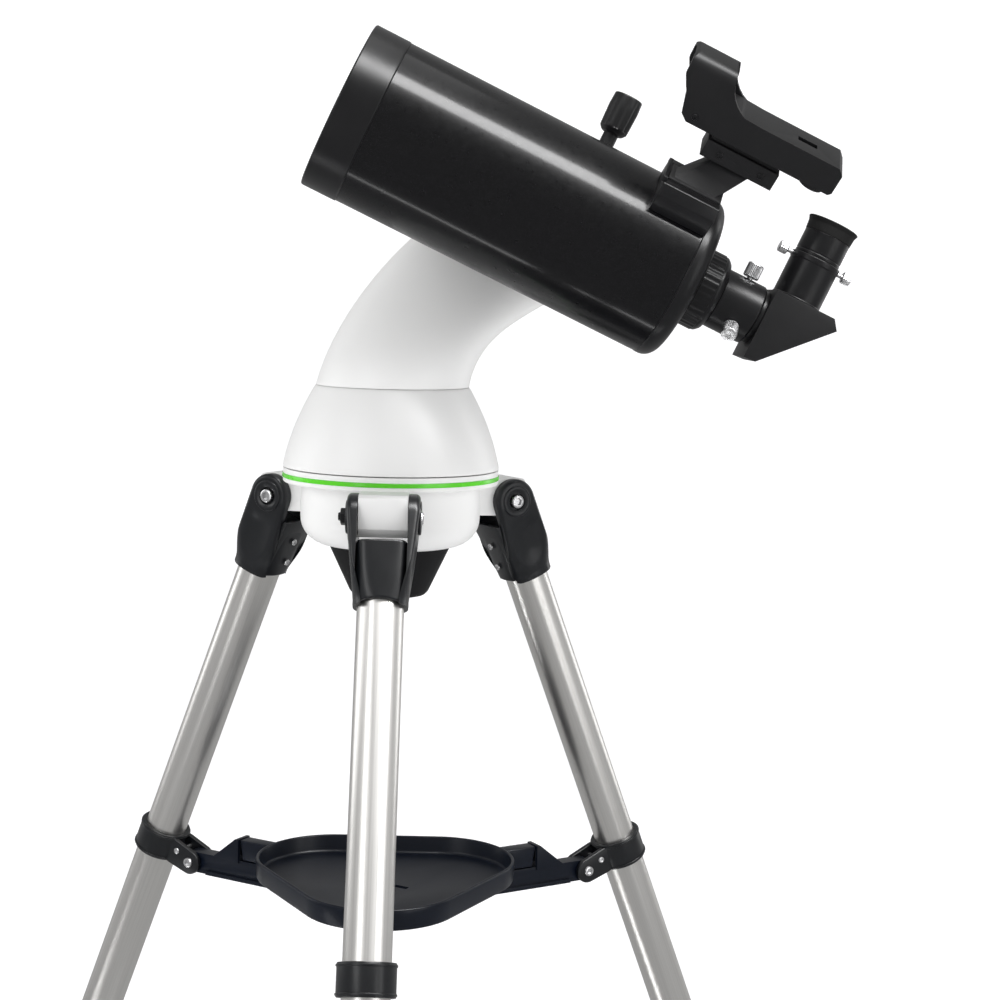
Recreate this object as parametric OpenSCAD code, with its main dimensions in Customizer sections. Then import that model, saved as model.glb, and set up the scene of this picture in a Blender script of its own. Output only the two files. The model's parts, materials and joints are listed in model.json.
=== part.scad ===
// Small Maksutov telescope on a motorised single-arm mount and a folding steel tripod.
// Millimetres, +Z up, origin on the floor at the bottom centre of the whole object.

/* [Placing] */
// Height of the green ring above the floor
ring_z = 680; // [660:1:700]
// Azimuth axis, distance to the right of the origin
head_x = -13; // [-20:0.5:0]
// Azimuth axis, distance behind the origin
head_y = 80.4; // [70:0.1:95]

/* [Legs] */
// Azimuth of the front leg, degrees
front_az = -94; // [-100:1:-80]
// Angle of each leg from the vertical, degrees
splay = 22.5; // [18:0.5:26]
// Radius of the leg hinges about the azimuth axis
hinge_r = 92.3; // [88:0.1:96]
// Depth of the leg hinges below the green ring
hinge_drop = 20; // [18:0.5:24]
// Outer diameter of the upper leg tube
leg_od = 31.75; // [30:0.05:34]
// Outer diameter of the sliding lower leg
inner_od = 25.4; // [22:0.1:26]
// Distance from the hinge to the lower end of the upper tube
upper_end = 605; // [560:5:620]
// Width of the white lug between the fork cheeks
lug_w = 33.6; // [30:0.1:36]
// Thickness of each fork cheek
cheek_t = 7.6; // [6:0.1:9]

/* [Spreader] */
// Distance from the leg hinge to the tray arm's pin, along the leg
arm_pin_s = 305; // [290:1:320]
// Distance from the leg's axis in to the tray arm's pin
arm_pin_in = 36.8; // [34:0.1:40]
// Height of the tray rim below the green ring
tray_top = 291; // [285:1:300]
// Reach of the tray's rounded corners, which point at the legs
tray_reach = 103; // [96:1:105]
// Distance from the tray's middle to its straight sides
tray_side = 81; // [76:1:84]
// Depth of the tray from its rim to its underside
tray_depth = 16; // [12:0.5:16.5]

/* [Mount head] */
// Radius of the green ring
ring_r = 78.3; // [75:0.1:82]
// Height of the bell housing's neck above the ring
neck_z = 65; // [60:1:70]
// Altitude axis, distance to the right of the azimuth axis
alt_x = 112.8; // [105:0.1:120]
// Altitude axis, height above the green ring
alt_z = 183.1; // [175:0.1:190]
// Face of the arm's hub, distance behind the azimuth axis
hub_y = 2; // [1.5:0.5:4]
// Radius of the arm's hub
hub_r = 51; // [48:0.5:52]

/* [Optical tube] */
// Tilt of the tube at rest, degrees
tilt = 25.1; // [0:0.1:40]
// Outer radius of the tube
tube_r = 57.5; // [55:0.1:60]
// Length from the front face to the rear cell's seam
tube_len = 251; // [240:1:260]
// Distance from the front face to the altitude axis
alt_u = 170; // [160:1:180]
// Plane of the tube's axis, distance in front of the azimuth axis
tube_y = 84.3; // [82:0.1:86]
// Clock angle of the finder shoe, from the top towards the open side
shoe_clock = 42; // [38:1:46]
// Clock angle of the finder
finder_clock = 30; // [26:1:34]
// Barrel diameter of the eyepiece and diagonal (one and a quarter inch)
barrel_d = 31.7; // [31.5:0.05:31.75]

/* [Hidden] */
$fn = 64;

leg_az = [front_az, front_az + 120, front_az + 240];
leg_r = leg_od / 2;
bolt_r = 3;
running = 0.05;            // radial clearance of a turning or sliding fit
arm_half = 6;              // half width of a tray arm
clamp_cheek = 4;           // thickness of a tray clamp's ears
arm_pin_r = 2.5;
band_h = 22;               // height of the tray clamp's band
// The tray arm's pin and the spreader hub's hinge, in the head's own frame
pin_r = hinge_r + arm_pin_s * sin(splay) - arm_pin_in * cos(splay);
pin_z = -hinge_drop - arm_pin_s * cos(splay) - arm_pin_in * sin(splay);
hub_hinge_r = 34;
hub_hinge_z = pin_z - 2;
arm_top = pin_z + 8;       // top of the tray arm's beam
arm_bottom = pin_z - 8;
tray_floor = -tray_top - tray_depth;
axle_drop = (ring_z - hinge_drop) / cos(splay);   // hinge to floor along the leg
black = [0.07, 0.07, 0.08];
navy = [0.09, 0.10, 0.13];
white = [0.94, 0.94, 0.93];
steel = [0.72, 0.72, 0.70];

// ---------------------------------------------------------------- frames
module at_head() {
    translate([head_x, head_y, ring_z]) children();
}

// Origin at the leg's hinge, +X outwards, +Z up along the leg
module at_leg(i) {
    at_head() rotate([0, 0, leg_az[i]]) translate([hinge_r, 0, -hinge_drop])
        rotate([0, -splay, 0]) children();
}

// +X outwards along the leg's azimuth, upright
module at_azimuth(i) {
    at_head() rotate([0, 0, leg_az[i]]) children();
}

// Origin on the tube's axis at its front face, +X to the rear, +Z up from the tube
module at_tube() {
    at_head() translate([alt_x, -tube_y, alt_z]) rotate([0, tilt, 0])
        translate([-alt_u, 0, 0]) children();
}

module at_shoe() {
    at_tube() rotate([shoe_clock, 0, 0]) children();
}

module at_finder() {
    at_tube() rotate([finder_clock, 0, 0]) children();
}

// Turned about the tube's axis: a profile of [distance from the front, radius] points
module turned(profile) {
    rotate([0, 90, 0]) rotate_extrude()
        polygon([for (p = profile) [p[1], p[0]]]);
}

// Rod or bar along Y, centred
module across(r, length) {
    rotate([90, 0, 0]) cylinder(r = r, h = length, center = true);
}

// Outline in the X-Z plane, extruded to a width along Y, centred
module slab(points, width) {
    rotate([90, 0, 0]) linear_extrude(height = width, center = true) polygon(points);
}

// Fluted grip of a hand knob, standing on Z = 0
module fluted_grip(r, h, flutes, flute_r) {
    difference() {
        cylinder(r = r, h = h);
        for (k = [0 : flutes - 1])
            rotate([0, 0, k * 360 / flutes]) translate([r + flute_r * 0.55, 0, -1])
                cylinder(r = flute_r, h = h + 2);
    }
}

// ---------------------------------------------------------------- mount base
bowl_r = 65;
bowl_bottom = -50;
bowl_corner = 20;
shell_t = 3;

module bowl_outline(inset) {
    corner = [for (a = [0 : 10 : 90])
        [bowl_r - bowl_corner + (bowl_corner - inset) * cos(a),
         bowl_bottom + bowl_corner - (bowl_corner - inset) * sin(a)]];
    polygon(concat([[0, -4], [bowl_r - inset, -4]], corner, [[0, bowl_bottom + inset]]));
}

module leg_lug() {
    lug = [[60, -4], [102, -4], [104, -6], [104, -27], [99, -33], [84, -31], [60, -30]];
    slab(lug, lug_w);
}

module base_bowl() {
    color(white) at_head() difference() {
        union() {
            rotate_extrude() union() {
                bowl_outline(0);
                polygon([[0, -5], [ring_r - 1.3, -5], [ring_r - 0.5, -4.2], [ring_r - 0.5, -1.6],
                         [ring_r - 4, -1.6], [ring_r - 4, 1.6], [ring_r - 0.5, 1.6],
                         [ring_r - 0.5, 5.2], [0, 5.2]]);
            }
            for (i = [0 : 2]) rotate([0, 0, leg_az[i]]) leg_lug();
        }
        rotate_extrude() bowl_outline(shell_t);
        translate([0, 0, -5]) cylinder(r = bowl_r - shell_t, h = 3);
        translate([0, 0, -10]) cylinder(r = 14, h = 20);
        translate([0, 0, bowl_bottom - 1]) cylinder(r = 12, h = 10);
        for (i = [0 : 2])
            rotate([0, 0, leg_az[i]]) translate([hinge_r, 0, -hinge_drop]) across(bolt_r, lug_w + 2);
    }
}

module base_ring() {
    color([0.27, 0.80, 0.08]) at_head() rotate_extrude()
        polygon([[ring_r - 4, -1.6], [ring_r - 0.4, -1.6], [ring_r, -1.2], [ring_r, 1.2],
                 [ring_r - 0.4, 1.6], [ring_r - 4, 1.6]]);
}

module base_cone() {
    color(black) at_head() difference() {
        rotate_extrude() polygon([[0, -86.5], [26, -86.5], [28.5, -84], [43.5, -52], [43.5, -50], [0, -50]]);
        rotate_extrude() polygon([[0, -82], [24, -82], [39, -54], [39, -53], [0, -53]]);
        translate([0, 0, -60]) cylinder(r = 12, h = 20);
        translate([0, 0, -90]) cylinder(r = 5, h = 10);
    }
}

wheel_teeth = 48;
wheel_z = 12;              // underside of the azimuth worm wheel

// Rim of a worm wheel: a disc with straight notches, standing on Z = 0
module worm_wheel(r, h) {
    difference() {
        cylinder(r = r, h = h);
        for (k = [0 : wheel_teeth - 1])
            rotate([0, 0, k * 360 / wheel_teeth]) translate([r, 0, h / 2])
                cube([2.4, 1.5, h + 1], center = true);
    }
}

module azimuth_spindle() {
    at_head() {
        color(steel) difference() {
            union() {
                translate([0, 0, -50]) cylinder(r = 11.9, h = 82);
                translate([0, 0, 5.2]) cylinder(r = 24, h = 3);
                translate([0, 0, 8.1]) cylinder(r = 16, h = wheel_z - 8.1);
            }
            translate([0, 0, -51]) cylinder(r = 5, h = 84);
        }
        color([0.75, 0.58, 0.25]) translate([0, 0, wheel_z]) difference() {
            worm_wheel(28, 8);
            translate([0, 0, -1]) cylinder(r = 11.9, h = 10);
        }
    }
}

module pivot_bolts() {
    half_fork = lug_w / 2 + cheek_t + 0.3;
    head_side = [1, -1, 1];    // the silver heads of the two rear bolts face forwards
    for (i = [0 : 2]) at_azimuth(i) translate([hinge_r, 0, -hinge_drop]) {
        color(steel) difference() {
            union() {
                across(bolt_r, 2 * half_fork + 4);
                translate([0, head_side[i] * (half_fork + 1.8), 0]) across(4.4, 3.2);
            }
            translate([0, head_side[i] * (half_fork + 3.4), 0]) rotate([90, 0, 0])
                cylinder(r = 2.3, h = 3, center = true, $fn = 6);
        }
        color(black) translate([0, -head_side[i] * (half_fork + 2.5), 0]) rotate([90, 0, 0]) difference() {
            cylinder(r = 6, h = 4.6, center = true, $fn = 6);
            cylinder(r = bolt_r, h = 6, center = true);
        }
    }
}

// ---------------------------------------------------------------- tripod legs
cheek_y = lug_w / 2 + 0.4 + cheek_t / 2;   // middle of a fork cheek
socket_top = -38;
socket_bottom = -60;
web_top = -20;             // the web below the lug starts here
screw_r = 2;               // clamping screws on the inner side

module fork_cheek() {
    difference() {
        union() {
            across(16.3, cheek_t);
            slab([[-16.3, 0], [16.3, 0], [20, socket_top - 4], [-20, socket_top - 4]], cheek_t);
        }
        across(bolt_r + running, cheek_t + 2);
    }
}

module casting(i) {
    color(black) at_leg(i) difference() {
        union() {
            for (side = [-1, 1]) translate([0, side * cheek_y, 0]) fork_cheek();
            // socket for the leg tube, narrowing towards its mouth
            hull() {
                translate([0, 0, socket_top - 2]) cube([40, 2 * (cheek_y + cheek_t / 2), 4], center = true);
                translate([0, 0, socket_bottom + 1]) cylinder(r = 20.4, h = 2, center = true, $fn = 32);
            }
            // web that closes the fork below the lug
            slab([[19, web_top], [8, web_top], [8, socket_top], [20, socket_top]], 2 * cheek_y);
            slab([[-20.5, -13], [-14, -16], [-14, socket_top], [-20.5, socket_top - 14]], 2 * cheek_y - 4);
        }
        translate([0, 0, socket_bottom - 1]) cylinder(r = leg_r, h = 30);
        for (z = [-31, -48]) translate([-24, 0, z]) rotate([0, 90, 0]) cylinder(r = screw_r, h = 5);
    }
}

module leg_tube(i) {
    color(steel) at_leg(i) translate([0, 0, -upper_end]) difference() {
        cylinder(r = leg_r, h = upper_end + socket_bottom + 29);
        translate([0, 0, -1]) cylinder(r = leg_r - 1.2, h = upper_end);
    }
}

module tray_clamp(i) {
    ear_y = arm_half + 0.4 + clamp_cheek / 2;
    at_leg(i) translate([0, 0, -arm_pin_s]) {
        color(black) difference() {
            union() {
                cylinder(r = leg_r + 3.5, h = band_h, center = true);
                for (side = [-1, 1]) translate([0, side * ear_y, 0]) {
                    slab([[-leg_r - 1, 10], [-arm_pin_in, 9.5], [-arm_pin_in, -9.5], [-leg_r - 1, -10.5]],
                         clamp_cheek);
                    translate([-arm_pin_in, 0, 0]) across(9.5, clamp_cheek);
                    slab([[-4, 8], [-leg_r - 4, 10], [-leg_r - 4, -10.5], [-4, -8]], clamp_cheek);
                }
            }
            cylinder(r = leg_r, h = band_h + 6, center = true);
            translate([-arm_pin_in, 0, 0]) across(arm_pin_r, 40);
            translate([-leg_r - 6.5, 0, 2.5]) across(1.8, 40);
        }
        color(steel) translate([-arm_pin_in, 0, 0]) {
            across(arm_pin_r, 2 * ear_y + clamp_cheek);
            for (side = [-1, 1])
                translate([0, side * (ear_y + clamp_cheek / 2 + 0.9), 0]) across(3.6, 1.8);
        }
        color(steel) translate([-leg_r - 6.5, 0, 2.5]) across(1.8, 2 * ear_y + clamp_cheek + 1.6);
    }
}

lock_drop = 8;             // the locking knob sits this far below the upper tube's end

// The locking collar closes the upper tube and guides the lower leg
module lock_collar(i) {
    color(black) at_leg(i) translate([0, 0, -upper_end]) difference() {
        union() {
            translate([0, 0, -18]) cylinder(r = leg_r + 3.4, h = 43);
            translate([0, 0, -18]) cylinder(r1 = leg_r + 1.5, r2 = leg_r + 4.4, h = 9);
            translate([10, 0, -lock_drop]) rotate([0, 90, 0]) cylinder(r = 8.5, h = 16);
        }
        cylinder(r = leg_r, h = 40);
        translate([0, 0, -19]) cylinder(r = inner_od / 2 + running, h = 25);
        translate([10, 0, -lock_drop]) rotate([0, 90, 0]) cylinder(r = 3, h = 20);
    }
}

module lock_knob(i) {
    color(black) at_leg(i) translate([26.3, 0, -upper_end - lock_drop]) rotate([0, 90, 0]) {
        translate([0, 0, -12.3]) cylinder(r = 2.95, h = 13);
        cylinder(r = 9, h = 4);
        translate([0, 0, 4]) fluted_grip(16, 11, 5, 6);
        translate([0, 0, 15]) cylinder(r = 9, h = 1.5);
    }
}

inner_top = -130;
foot_up = 34;              // how far the lower leg's end is above the floor, along the leg

module inner_leg(i) {
    inner_bottom = -axle_drop + foot_up;
    at_leg(i) {
        color(steel) translate([0, 0, inner_bottom]) difference() {
            cylinder(r = inner_od / 2, h = inner_top - inner_bottom);
            translate([0, 0, -1]) cylinder(r = inner_od / 2 - 1, h = inner_top - inner_bottom + 2);
        }
        color(black) translate([0, 0, inner_top]) difference() {
            cylinder(r = leg_r - 1.2 - running, h = 14);
            translate([0, 0, -1]) cylinder(r = inner_od / 2 - 3, h = 16);
        }
    }
}

// Rubber shoe, flat on the floor
module foot(i) {
    inner_bottom = -axle_drop + foot_up;
    color([0.05, 0.05, 0.05]) difference() {
        at_leg(i) union() {
            translate([0, 0, inner_bottom - 6]) cylinder(r1 = 17.5, r2 = 15.2, h = 26);
            translate([0, 0, inner_bottom - 40]) cylinder(r = 17.5, h = 34.01);
        }
        at_leg(i) translate([0, 0, inner_bottom]) cylinder(r = inner_od / 2, h = 40);
        translate([head_x, head_y, -60]) cylinder(r = 600, h = 60);
    }
}

// ---------------------------------------------------------------- spreader and tray
wedge_in = 129;            // radius of the wedge's upright face
wedge_out = 153;           // radius where the wedge meets the beam

module tray_arm(i) {
    color(navy) at_azimuth(i) difference() {
        union() {
            slab([[pin_r, arm_top], [pin_r, arm_bottom], [72, arm_bottom], [hub_hinge_r, hub_hinge_z - 6],
                  [hub_hinge_r, hub_hinge_z + 6], [68, arm_top]], 2 * arm_half);
            translate([pin_r, 0, pin_z]) across(8, 2 * arm_half);
            translate([hub_hinge_r, 0, hub_hinge_z]) across(6, 2 * arm_half);
            slab([[wedge_in, arm_top - 2], [wedge_in, -tray_top], [wedge_in + 3, -tray_top],
                  [wedge_out, arm_top - 0.01]], 15);
            slab([[68, arm_bottom], [68, arm_bottom + 3], [160, arm_bottom + 3], [160, arm_bottom]], 16);
        }
        translate([pin_r, 0, pin_z]) across(arm_pin_r + running, 40);
        translate([hub_hinge_r, 0, hub_hinge_z]) across(2.5, 40);
        translate([wedge_in - 1, -4, -tray_top - 13]) cube([10, 8, 9]);
    }
}

// Tray outline: a triangle with straight sides and large round corners
function tray_outline(inset) = let (c = 2 * (tray_reach - tray_side), r = tray_reach - c - inset)
    [for (k = [0 : 2]) for (a = [-60 : 6 : 60])
        [c * cos(120 * k) + r * cos(120 * k + a), c * sin(120 * k) + r * sin(120 * k + a)]];

// Side of a tongue that reaches from a corner of the tray to the wedge of an arm
tongue = [[tray_reach - 2, 0], [wedge_in - 0.9, 0], [wedge_in - 3.4, -tray_depth], [tray_reach - 2, -tray_depth]];

module tray() {
    wall = 2.4;
    color(navy) at_head() rotate([0, 0, front_az]) difference() {
        union() {
            translate([0, 0, tray_floor]) linear_extrude(height = tray_depth) polygon(tray_outline(0));
            for (i = [0 : 2]) rotate([0, 0, i * 120]) translate([0, 0, -tray_top]) slab(tongue, 2 * arm_half);
        }
        translate([0, 0, tray_floor + 2.5]) linear_extrude(height = 20) polygon(tray_outline(wall));
        for (i = [0 : 2]) rotate([0, 0, i * 120 + 60]) translate([15, 0, tray_floor])
            cube([12, 5, 12], center = true);
        translate([0, 0, tray_floor - 1]) cylinder(r = 3, h = 5);
    }
}

module spreader_hub() {
    hub_top = tray_floor;
    cheek_in = arm_half + 0.6;
    color(black) at_head() rotate([0, 0, front_az]) difference() {
        union() {
            translate([0, 0, hub_hinge_z - 12]) cylinder(r = 8, h = hub_top - hub_hinge_z + 12);
            translate([0, 0, hub_hinge_z - 12]) cylinder(r = 30, h = 3);
            for (i = [0 : 2]) rotate([0, 0, i * 120]) for (side = [-1, 1])
                translate([0, side * (cheek_in + 1.75), 0])
                    slab([[14, hub_hinge_z - 12], [36, hub_hinge_z - 9], [41, hub_hinge_z - 2],
                          [41, hub_hinge_z + 3], [36, hub_top], [20, hub_top]], 3.5);
        }
        translate([0, 0, hub_hinge_z - 13]) cylinder(r = 2.6, h = 40);
        for (i = [0 : 2]) rotate([0, 0, i * 120])
            translate([hub_hinge_r, 0, hub_hinge_z]) across(2.5, 60);
    }
}

// ---------------------------------------------------------------- turning head
bell_foot = 5.9;
bell_top = neck_z - 0.3;

function bell_radius(z, inset) = ring_r - inset - 0.1885 * (z - bell_foot) - 0.003386 * pow(z - bell_foot, 2);

module bell_half(inset, low, high) {
    polygon(concat([[0, low]],
        [for (k = [0 : 12]) let (z = low + (high - low) * k / 12) [bell_radius(z, inset), z]], [[0, high]]));
}

module bell_housing() {
    color(white) at_head() difference() {
        rotate_extrude() bell_half(0, bell_foot, bell_top);
        rotate_extrude() bell_half(3, bell_foot + 3, bell_top - 6);
        translate([0, 0, bell_foot - 1]) cylinder(r = ring_r - 8, h = 5);
        translate([0, 0, 30]) cylinder(r = 42, h = 50);
        // window for the sockets, at the back
        translate([0, 60, 30]) cube([44, 60, 18], center = true);
    }
    color(white) at_head() difference() {
        union() {
            translate([0, 0, 33]) cylinder(r = 20, h = 14);
            for (a = [45 : 90 : 315]) rotate([0, 0, a]) translate([16, -2, 33]) cube([57, 4, 14]);
        }
        rotate_extrude() polygon([[bell_radius(32, 1.5), 32], [100, 32], [100, 48], [bell_radius(48, 1.5), 48]]);
        translate([0, 0, 30]) cylinder(r = 12, h = 20);
    }
}

// Arm: cross-sections that follow a bent path from the neck to the hub
arm_steps = 18;
arm_sides = 40;
function ease(t) = t * t * (3 - 2 * t);
// Middle of the section at t from 0 to 1
function arm_mid(t) = [alt_x * (0.21 * t + 0.79 * t * t), 40 * ease(t), neck_z + (alt_z - neck_z) * t];
function arm_lean(t) = -42.5 * sin(90 * t * t);        // lean of the section, degrees from level
function arm_wide(t) = 55.2 - 4 * t;                   // half width in the plane of the bend
function arm_deep(t) = 55.2 - 21.2 * ease(t);          // half thickness, front to back
function arm_point(t, a, inset) = let (
        e = 2 + 0.3 * ease(t),
        c = cos(a), s = sin(a),
        x = (arm_wide(t) - inset) * sign(c) * pow(abs(c), 2 / e),
        y = (arm_deep(t) - inset) * sign(s) * pow(abs(s), 2 / e),
        m = arm_mid(t))
    [m[0] + x * cos(arm_lean(t)), m[1] + y, m[2] + x * sin(arm_lean(t))];

module arm_loft(inset, from, to) {
    points = [for (k = [0 : arm_steps]) let (t = from + (to - from) * k / arm_steps)
        for (j = [0 : arm_sides - 1]) arm_point(t, j * 360 / arm_sides, inset)];
    sides = [for (k = [0 : arm_steps - 1]) for (j = [0 : arm_sides - 1])
        let (n = (j + 1) % arm_sides, b = k * arm_sides, u = b + arm_sides)
        for (f = [[b + j, u + n, b + n], [b + j, u + j, u + n]]) f];
    foot = [[for (j = [0 : arm_sides - 1]) j]];
    head = [[for (j = [arm_sides - 1 : -1 : 0]) arm_steps * arm_sides + j]];
    polyhedron(points = points, faces = concat(sides, foot, head), convexity = 4);
}

hub_back = 74;

module at_hub() {
    at_head() translate([alt_x, 0, alt_z]) rotate([-90, 0, 0]) children();
}

module arm_shell() {
    edge = 9;
    color(white) difference() {
        union() {
            at_head() arm_loft(0, 0, 0.94);
            at_hub() rotate_extrude() polygon(concat([[0, hub_y]],
                [for (a = [0 : 15 : 90]) [hub_r - 3 + 3 * sin(a), hub_y + 3 - 3 * cos(a)]],
                [for (a = [90 : -15 : 0]) [hub_r - edge + edge * sin(a), hub_back - edge + edge * cos(a)]],
                [[0, hub_back]]));
        }
        at_head() arm_loft(3.5, -0.03, 0.9);
        at_hub() translate([0, 0, hub_y + 4]) cylinder(r = hub_r - 4, h = hub_back - hub_y - 8);
        at_hub() translate([0, 0, hub_y - 1]) cylinder(r = 10 + running, h = 10);
    }
}

// A geared motor along +Z: body, gearbox and worm, the worm's last 8 mm above Z = 0
module geared_motor() {
    color([0.55, 0.55, 0.57]) translate([0, 0, -52]) cylinder(r = 11, h = 26);
    color([0.35, 0.35, 0.36]) translate([0, 0, -26]) cylinder(r = 9, h = 10);
    color([0.75, 0.58, 0.25]) translate([0, 0, -16]) cylinder(r = 4, h = 24);
}

module drive_motors() {
    at_head() translate([0, -33, wheel_z + 5]) rotate([0, 90, 0]) geared_motor();
    at_head() translate([alt_x - 31, 38, alt_z]) geared_motor();
}

module control_board() {
    at_head() {
        color([0.10, 0.10, 0.11]) translate([0, 66.3, 30]) difference() {
            cube([43.6, 3, 17.6], center = true);
            for (x = [-13, 2]) translate([x, 0, 0]) rotate([90, 0, 0]) cylinder(r = 3, h = 9, center = true);
            translate([15, 0, 0]) cube([8, 9, 6], center = true);
        }
        color([0.05, 0.30, 0.12]) translate([0, 57, 22.2]) cube([43.6, 20, 1.6], center = true);
        color([0.12, 0.12, 0.12]) for (x = [-13, 2]) translate([x, 61, 28.5]) difference() {
            cube([11, 12, 11], center = true);
            translate([0, 4, 1.5]) rotate([90, 0, 0]) cylinder(r = 3, h = 16, center = true);
        }
    }
}

// ---------------------------------------------------------------- altitude axis and saddle
boss_y = hub_y - 0.7;      // face of the saddle's boss, just clear of the hub

module altitude_shaft() {
    at_hub() {
        color(steel) translate([0, 0, boss_y]) cylinder(r = 10, h = 55 - boss_y);
        color([0.75, 0.58, 0.25]) translate([0, 0, 34]) difference() {
            worm_wheel(26, 8);
            translate([0, 0, -1]) cylinder(r = 10, h = 10);
        }
    }
}

module saddle() {
    half = 31;
    base = tube_r + 13.5;                  // back of the bar, from the tube's axis
    color(black) at_tube() translate([alt_u, 0, 0]) difference() {
        union() {
            translate([-half, base, -31]) cube([2 * half, 8, 62]);
            rotate([-90, 0, 0]) translate([0, 0, base + 7]) cylinder(r = 33, h = tube_y - base - 7 + boss_y);
            // fixed lower jaw and upper block that carries the knob
            translate([-half, base - 9, -31]) cube([2 * half, 9.01, 8.6]);
            translate([-half, base - 9, 23.6]) cube([2 * half, 9.01, 10.4]);
        }
        translate([7.5, base - 3.5, 20]) cylinder(r = 4 + running, h = 20);
    }
}

module saddle_knob() {
    base = tube_r + 13.5;
    color(black) at_tube() translate([alt_u + 7.5, base - 3.5, 23.8]) {
        cylinder(r = 4, h = 36);
        translate([0, 0, 10.4]) cylinder(r = 5.5, h = 44);
        translate([0, 0, 53.4]) difference() {
            fluted_grip(10.2, 25, 8, 2.6);
            translate([0, 0, 22]) difference() {
                cylinder(r = 14, h = 4);
                translate([0, 0, -0.1]) cylinder(r1 = 10.3, r2 = 7.6, h = 4);
            }
        }
    }
}

// ---------------------------------------------------------------- optical tube
ring_len = 26;
wall_t = 1.3;

module tube_shell() {
    color(black) at_tube() turned([[ring_len, tube_r - wall_t], [ring_len, tube_r],
        [tube_len, tube_r], [tube_len, tube_r - wall_t]]);
}

module front_ring() {
    color([0.10, 0.10, 0.10]) at_tube() turned([[0, 53.8], [0, 57.2], [0.8, 58], [ring_len - 0.8, 58],
        [ring_len, 57.6], [ring_len, tube_r - wall_t], [ring_len + 9, tube_r - wall_t], [ring_len + 9, 53],
        [24.5, 53], [24.5, 51.5], [21, 51.5], [16, 53], [0.8, 53]]);
}

// Meniscus with its hollow side to the front
function sag(r) = 9 * (1 - pow(r / 51.4, 2));

module corrector_lens() {
    color([0.7, 0.85, 0.9, 0.4]) at_tube() turned(concat(
        [for (k = [0 : 12]) let (r = 52.9 * k / 12) [25.2 + sag(r), r]],
        [for (k = [12 : -1 : 0]) let (r = 52.9 * k / 12) [33.6 + sag(r) * 0.94, r]]));
}

module secondary_baffle() {
    color(black) at_tube() turned([[42.2, 0], [42.2, 15], [60, 11.5], [60, 10.3], [43.6, 13.6], [43.6, 0]]);
}

cell_end = tube_len + 13;
cell_round = 10;
focus_y = 35;              // axis of the focusing knob, from the tube's axis
focus_z = 19;

module rear_cell() {
    color([0.10, 0.10, 0.10]) at_tube() difference() {
        turned(concat([[tube_len - 9, 52.5], [tube_len - 9, tube_r - wall_t], [tube_len, tube_r - wall_t],
            [tube_len, 57.8]],
            [for (a = [0 : 15 : 90]) [tube_len + 3 + cell_round * sin(a), 57.8 - cell_round + cell_round * cos(a)]],
            [[cell_end, 27.2], [cell_end + 17, 27.2], [cell_end + 20.2, 24.4], [cell_end + 20.2, 18.2],
             [tube_len + 3, 18.2], [tube_len + 3, 52.5]]));
        translate([cell_end - 20, focus_y, focus_z]) rotate([0, 90, 0]) cylinder(r = 3 + running, h = 30);
    }
}

module baffle_tube() {
    color(black) at_tube() turned([[112, 16.4], [112, 17.6], [tube_len - 3, 17.6], [tube_len - 3, 18.2],
        [cell_end + 20.2, 18.2], [cell_end + 20.2, 16.4]]);
}

module primary_mirror() {
    color([0.8, 0.85, 0.9]) at_tube() turned([[224, 17.7], [228.5, 52], [242, 52], [242, 24],
        [244, 24], [244, 17.7]]);
}

module focus_knob() {
    at_tube() translate([0, focus_y, focus_z]) rotate([0, 90, 0]) {
        color(steel) translate([0, 0, tube_len - 2]) cylinder(r = 3, h = 19);
        color(black) translate([0, 0, cell_end + 1]) fluted_grip(11, 24, 16, 1.2);
    }
}

bar_z = 22.0;              // half width of the dovetail bar at its wide face

module dovetail_bar() {
    base = tube_r + 13.5;
    color(black) at_tube() difference() {
        union() {
            translate([108, 0, 0]) rotate([90, 0, 90]) linear_extrude(height = 112) polygon([
                [tube_r + 1.2, -bar_z + 4], [base - 9.2, -bar_z + 4], [base - 0.1, -bar_z],
                [base - 0.1, bar_z], [base - 9.2, bar_z - 4], [tube_r + 1.2, bar_z - 4]]);
            // two feet that fit the tube's curve
            for (x = [116, 196]) translate([x, 0, 0]) difference() {
                translate([0, 48, -17]) cube([16, 11, 34]);
                rotate([0, 90, 0]) translate([0, 0, -1]) cylinder(r = tube_r, h = 18);
            }
        }
        for (x = [124, 204]) translate([x, base - 4, 0]) rotate([-90, 0, 0]) cylinder(r = 4, h = 5);
    }
}

shoe_from = 211;
shoe_to = 252;

module finder_shoe() {
    color(black) at_shoe() difference() {
        translate([shoe_from, 0, 0]) rotate([90, 0, 90]) linear_extrude(height = shoe_to - shoe_from)
            polygon([[-20, 50], [20, 50], [20, 68], [14, 74], [-14, 74], [-20, 68]]);
        rotate([0, 90, 0]) translate([0, 0, 200]) cylinder(r = 57.8, h = 60);
        // dovetail channel for the bracket's foot
        translate([shoe_from - 1, 0, 0]) rotate([90, 0, 90]) linear_extrude(height = shoe_to - shoe_from + 2)
            polygon([[-11, 66], [11, 66], [8, 75], [-8, 75]]);
    }
}

back_start = cell_end + 20.2;
back_end = back_start + 29.8;

module visual_back() {
    color(black) at_tube() difference() {
        turned([[back_start, barrel_d / 2 + running], [back_start, 20], [back_start + 1, 21],
            [back_end - 1, 21], [back_end, 20], [back_end, barrel_d / 2 + running]]);
        for (clock = [0, 130]) rotate([clock, 0, 0]) translate([back_start + 16.5, 0, 10])
            cylinder(r = 2, h = 20);
    }
}

// Knurled thumbscrew along +Z: plain end at Z = 0
module thumbscrew(shank_r, shank, head_r, head) {
    cylinder(r = shank_r, h = shank);
    translate([0, 0, shank - 1]) fluted_grip(head_r, head + 1, 14, 0.6);
}

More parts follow.
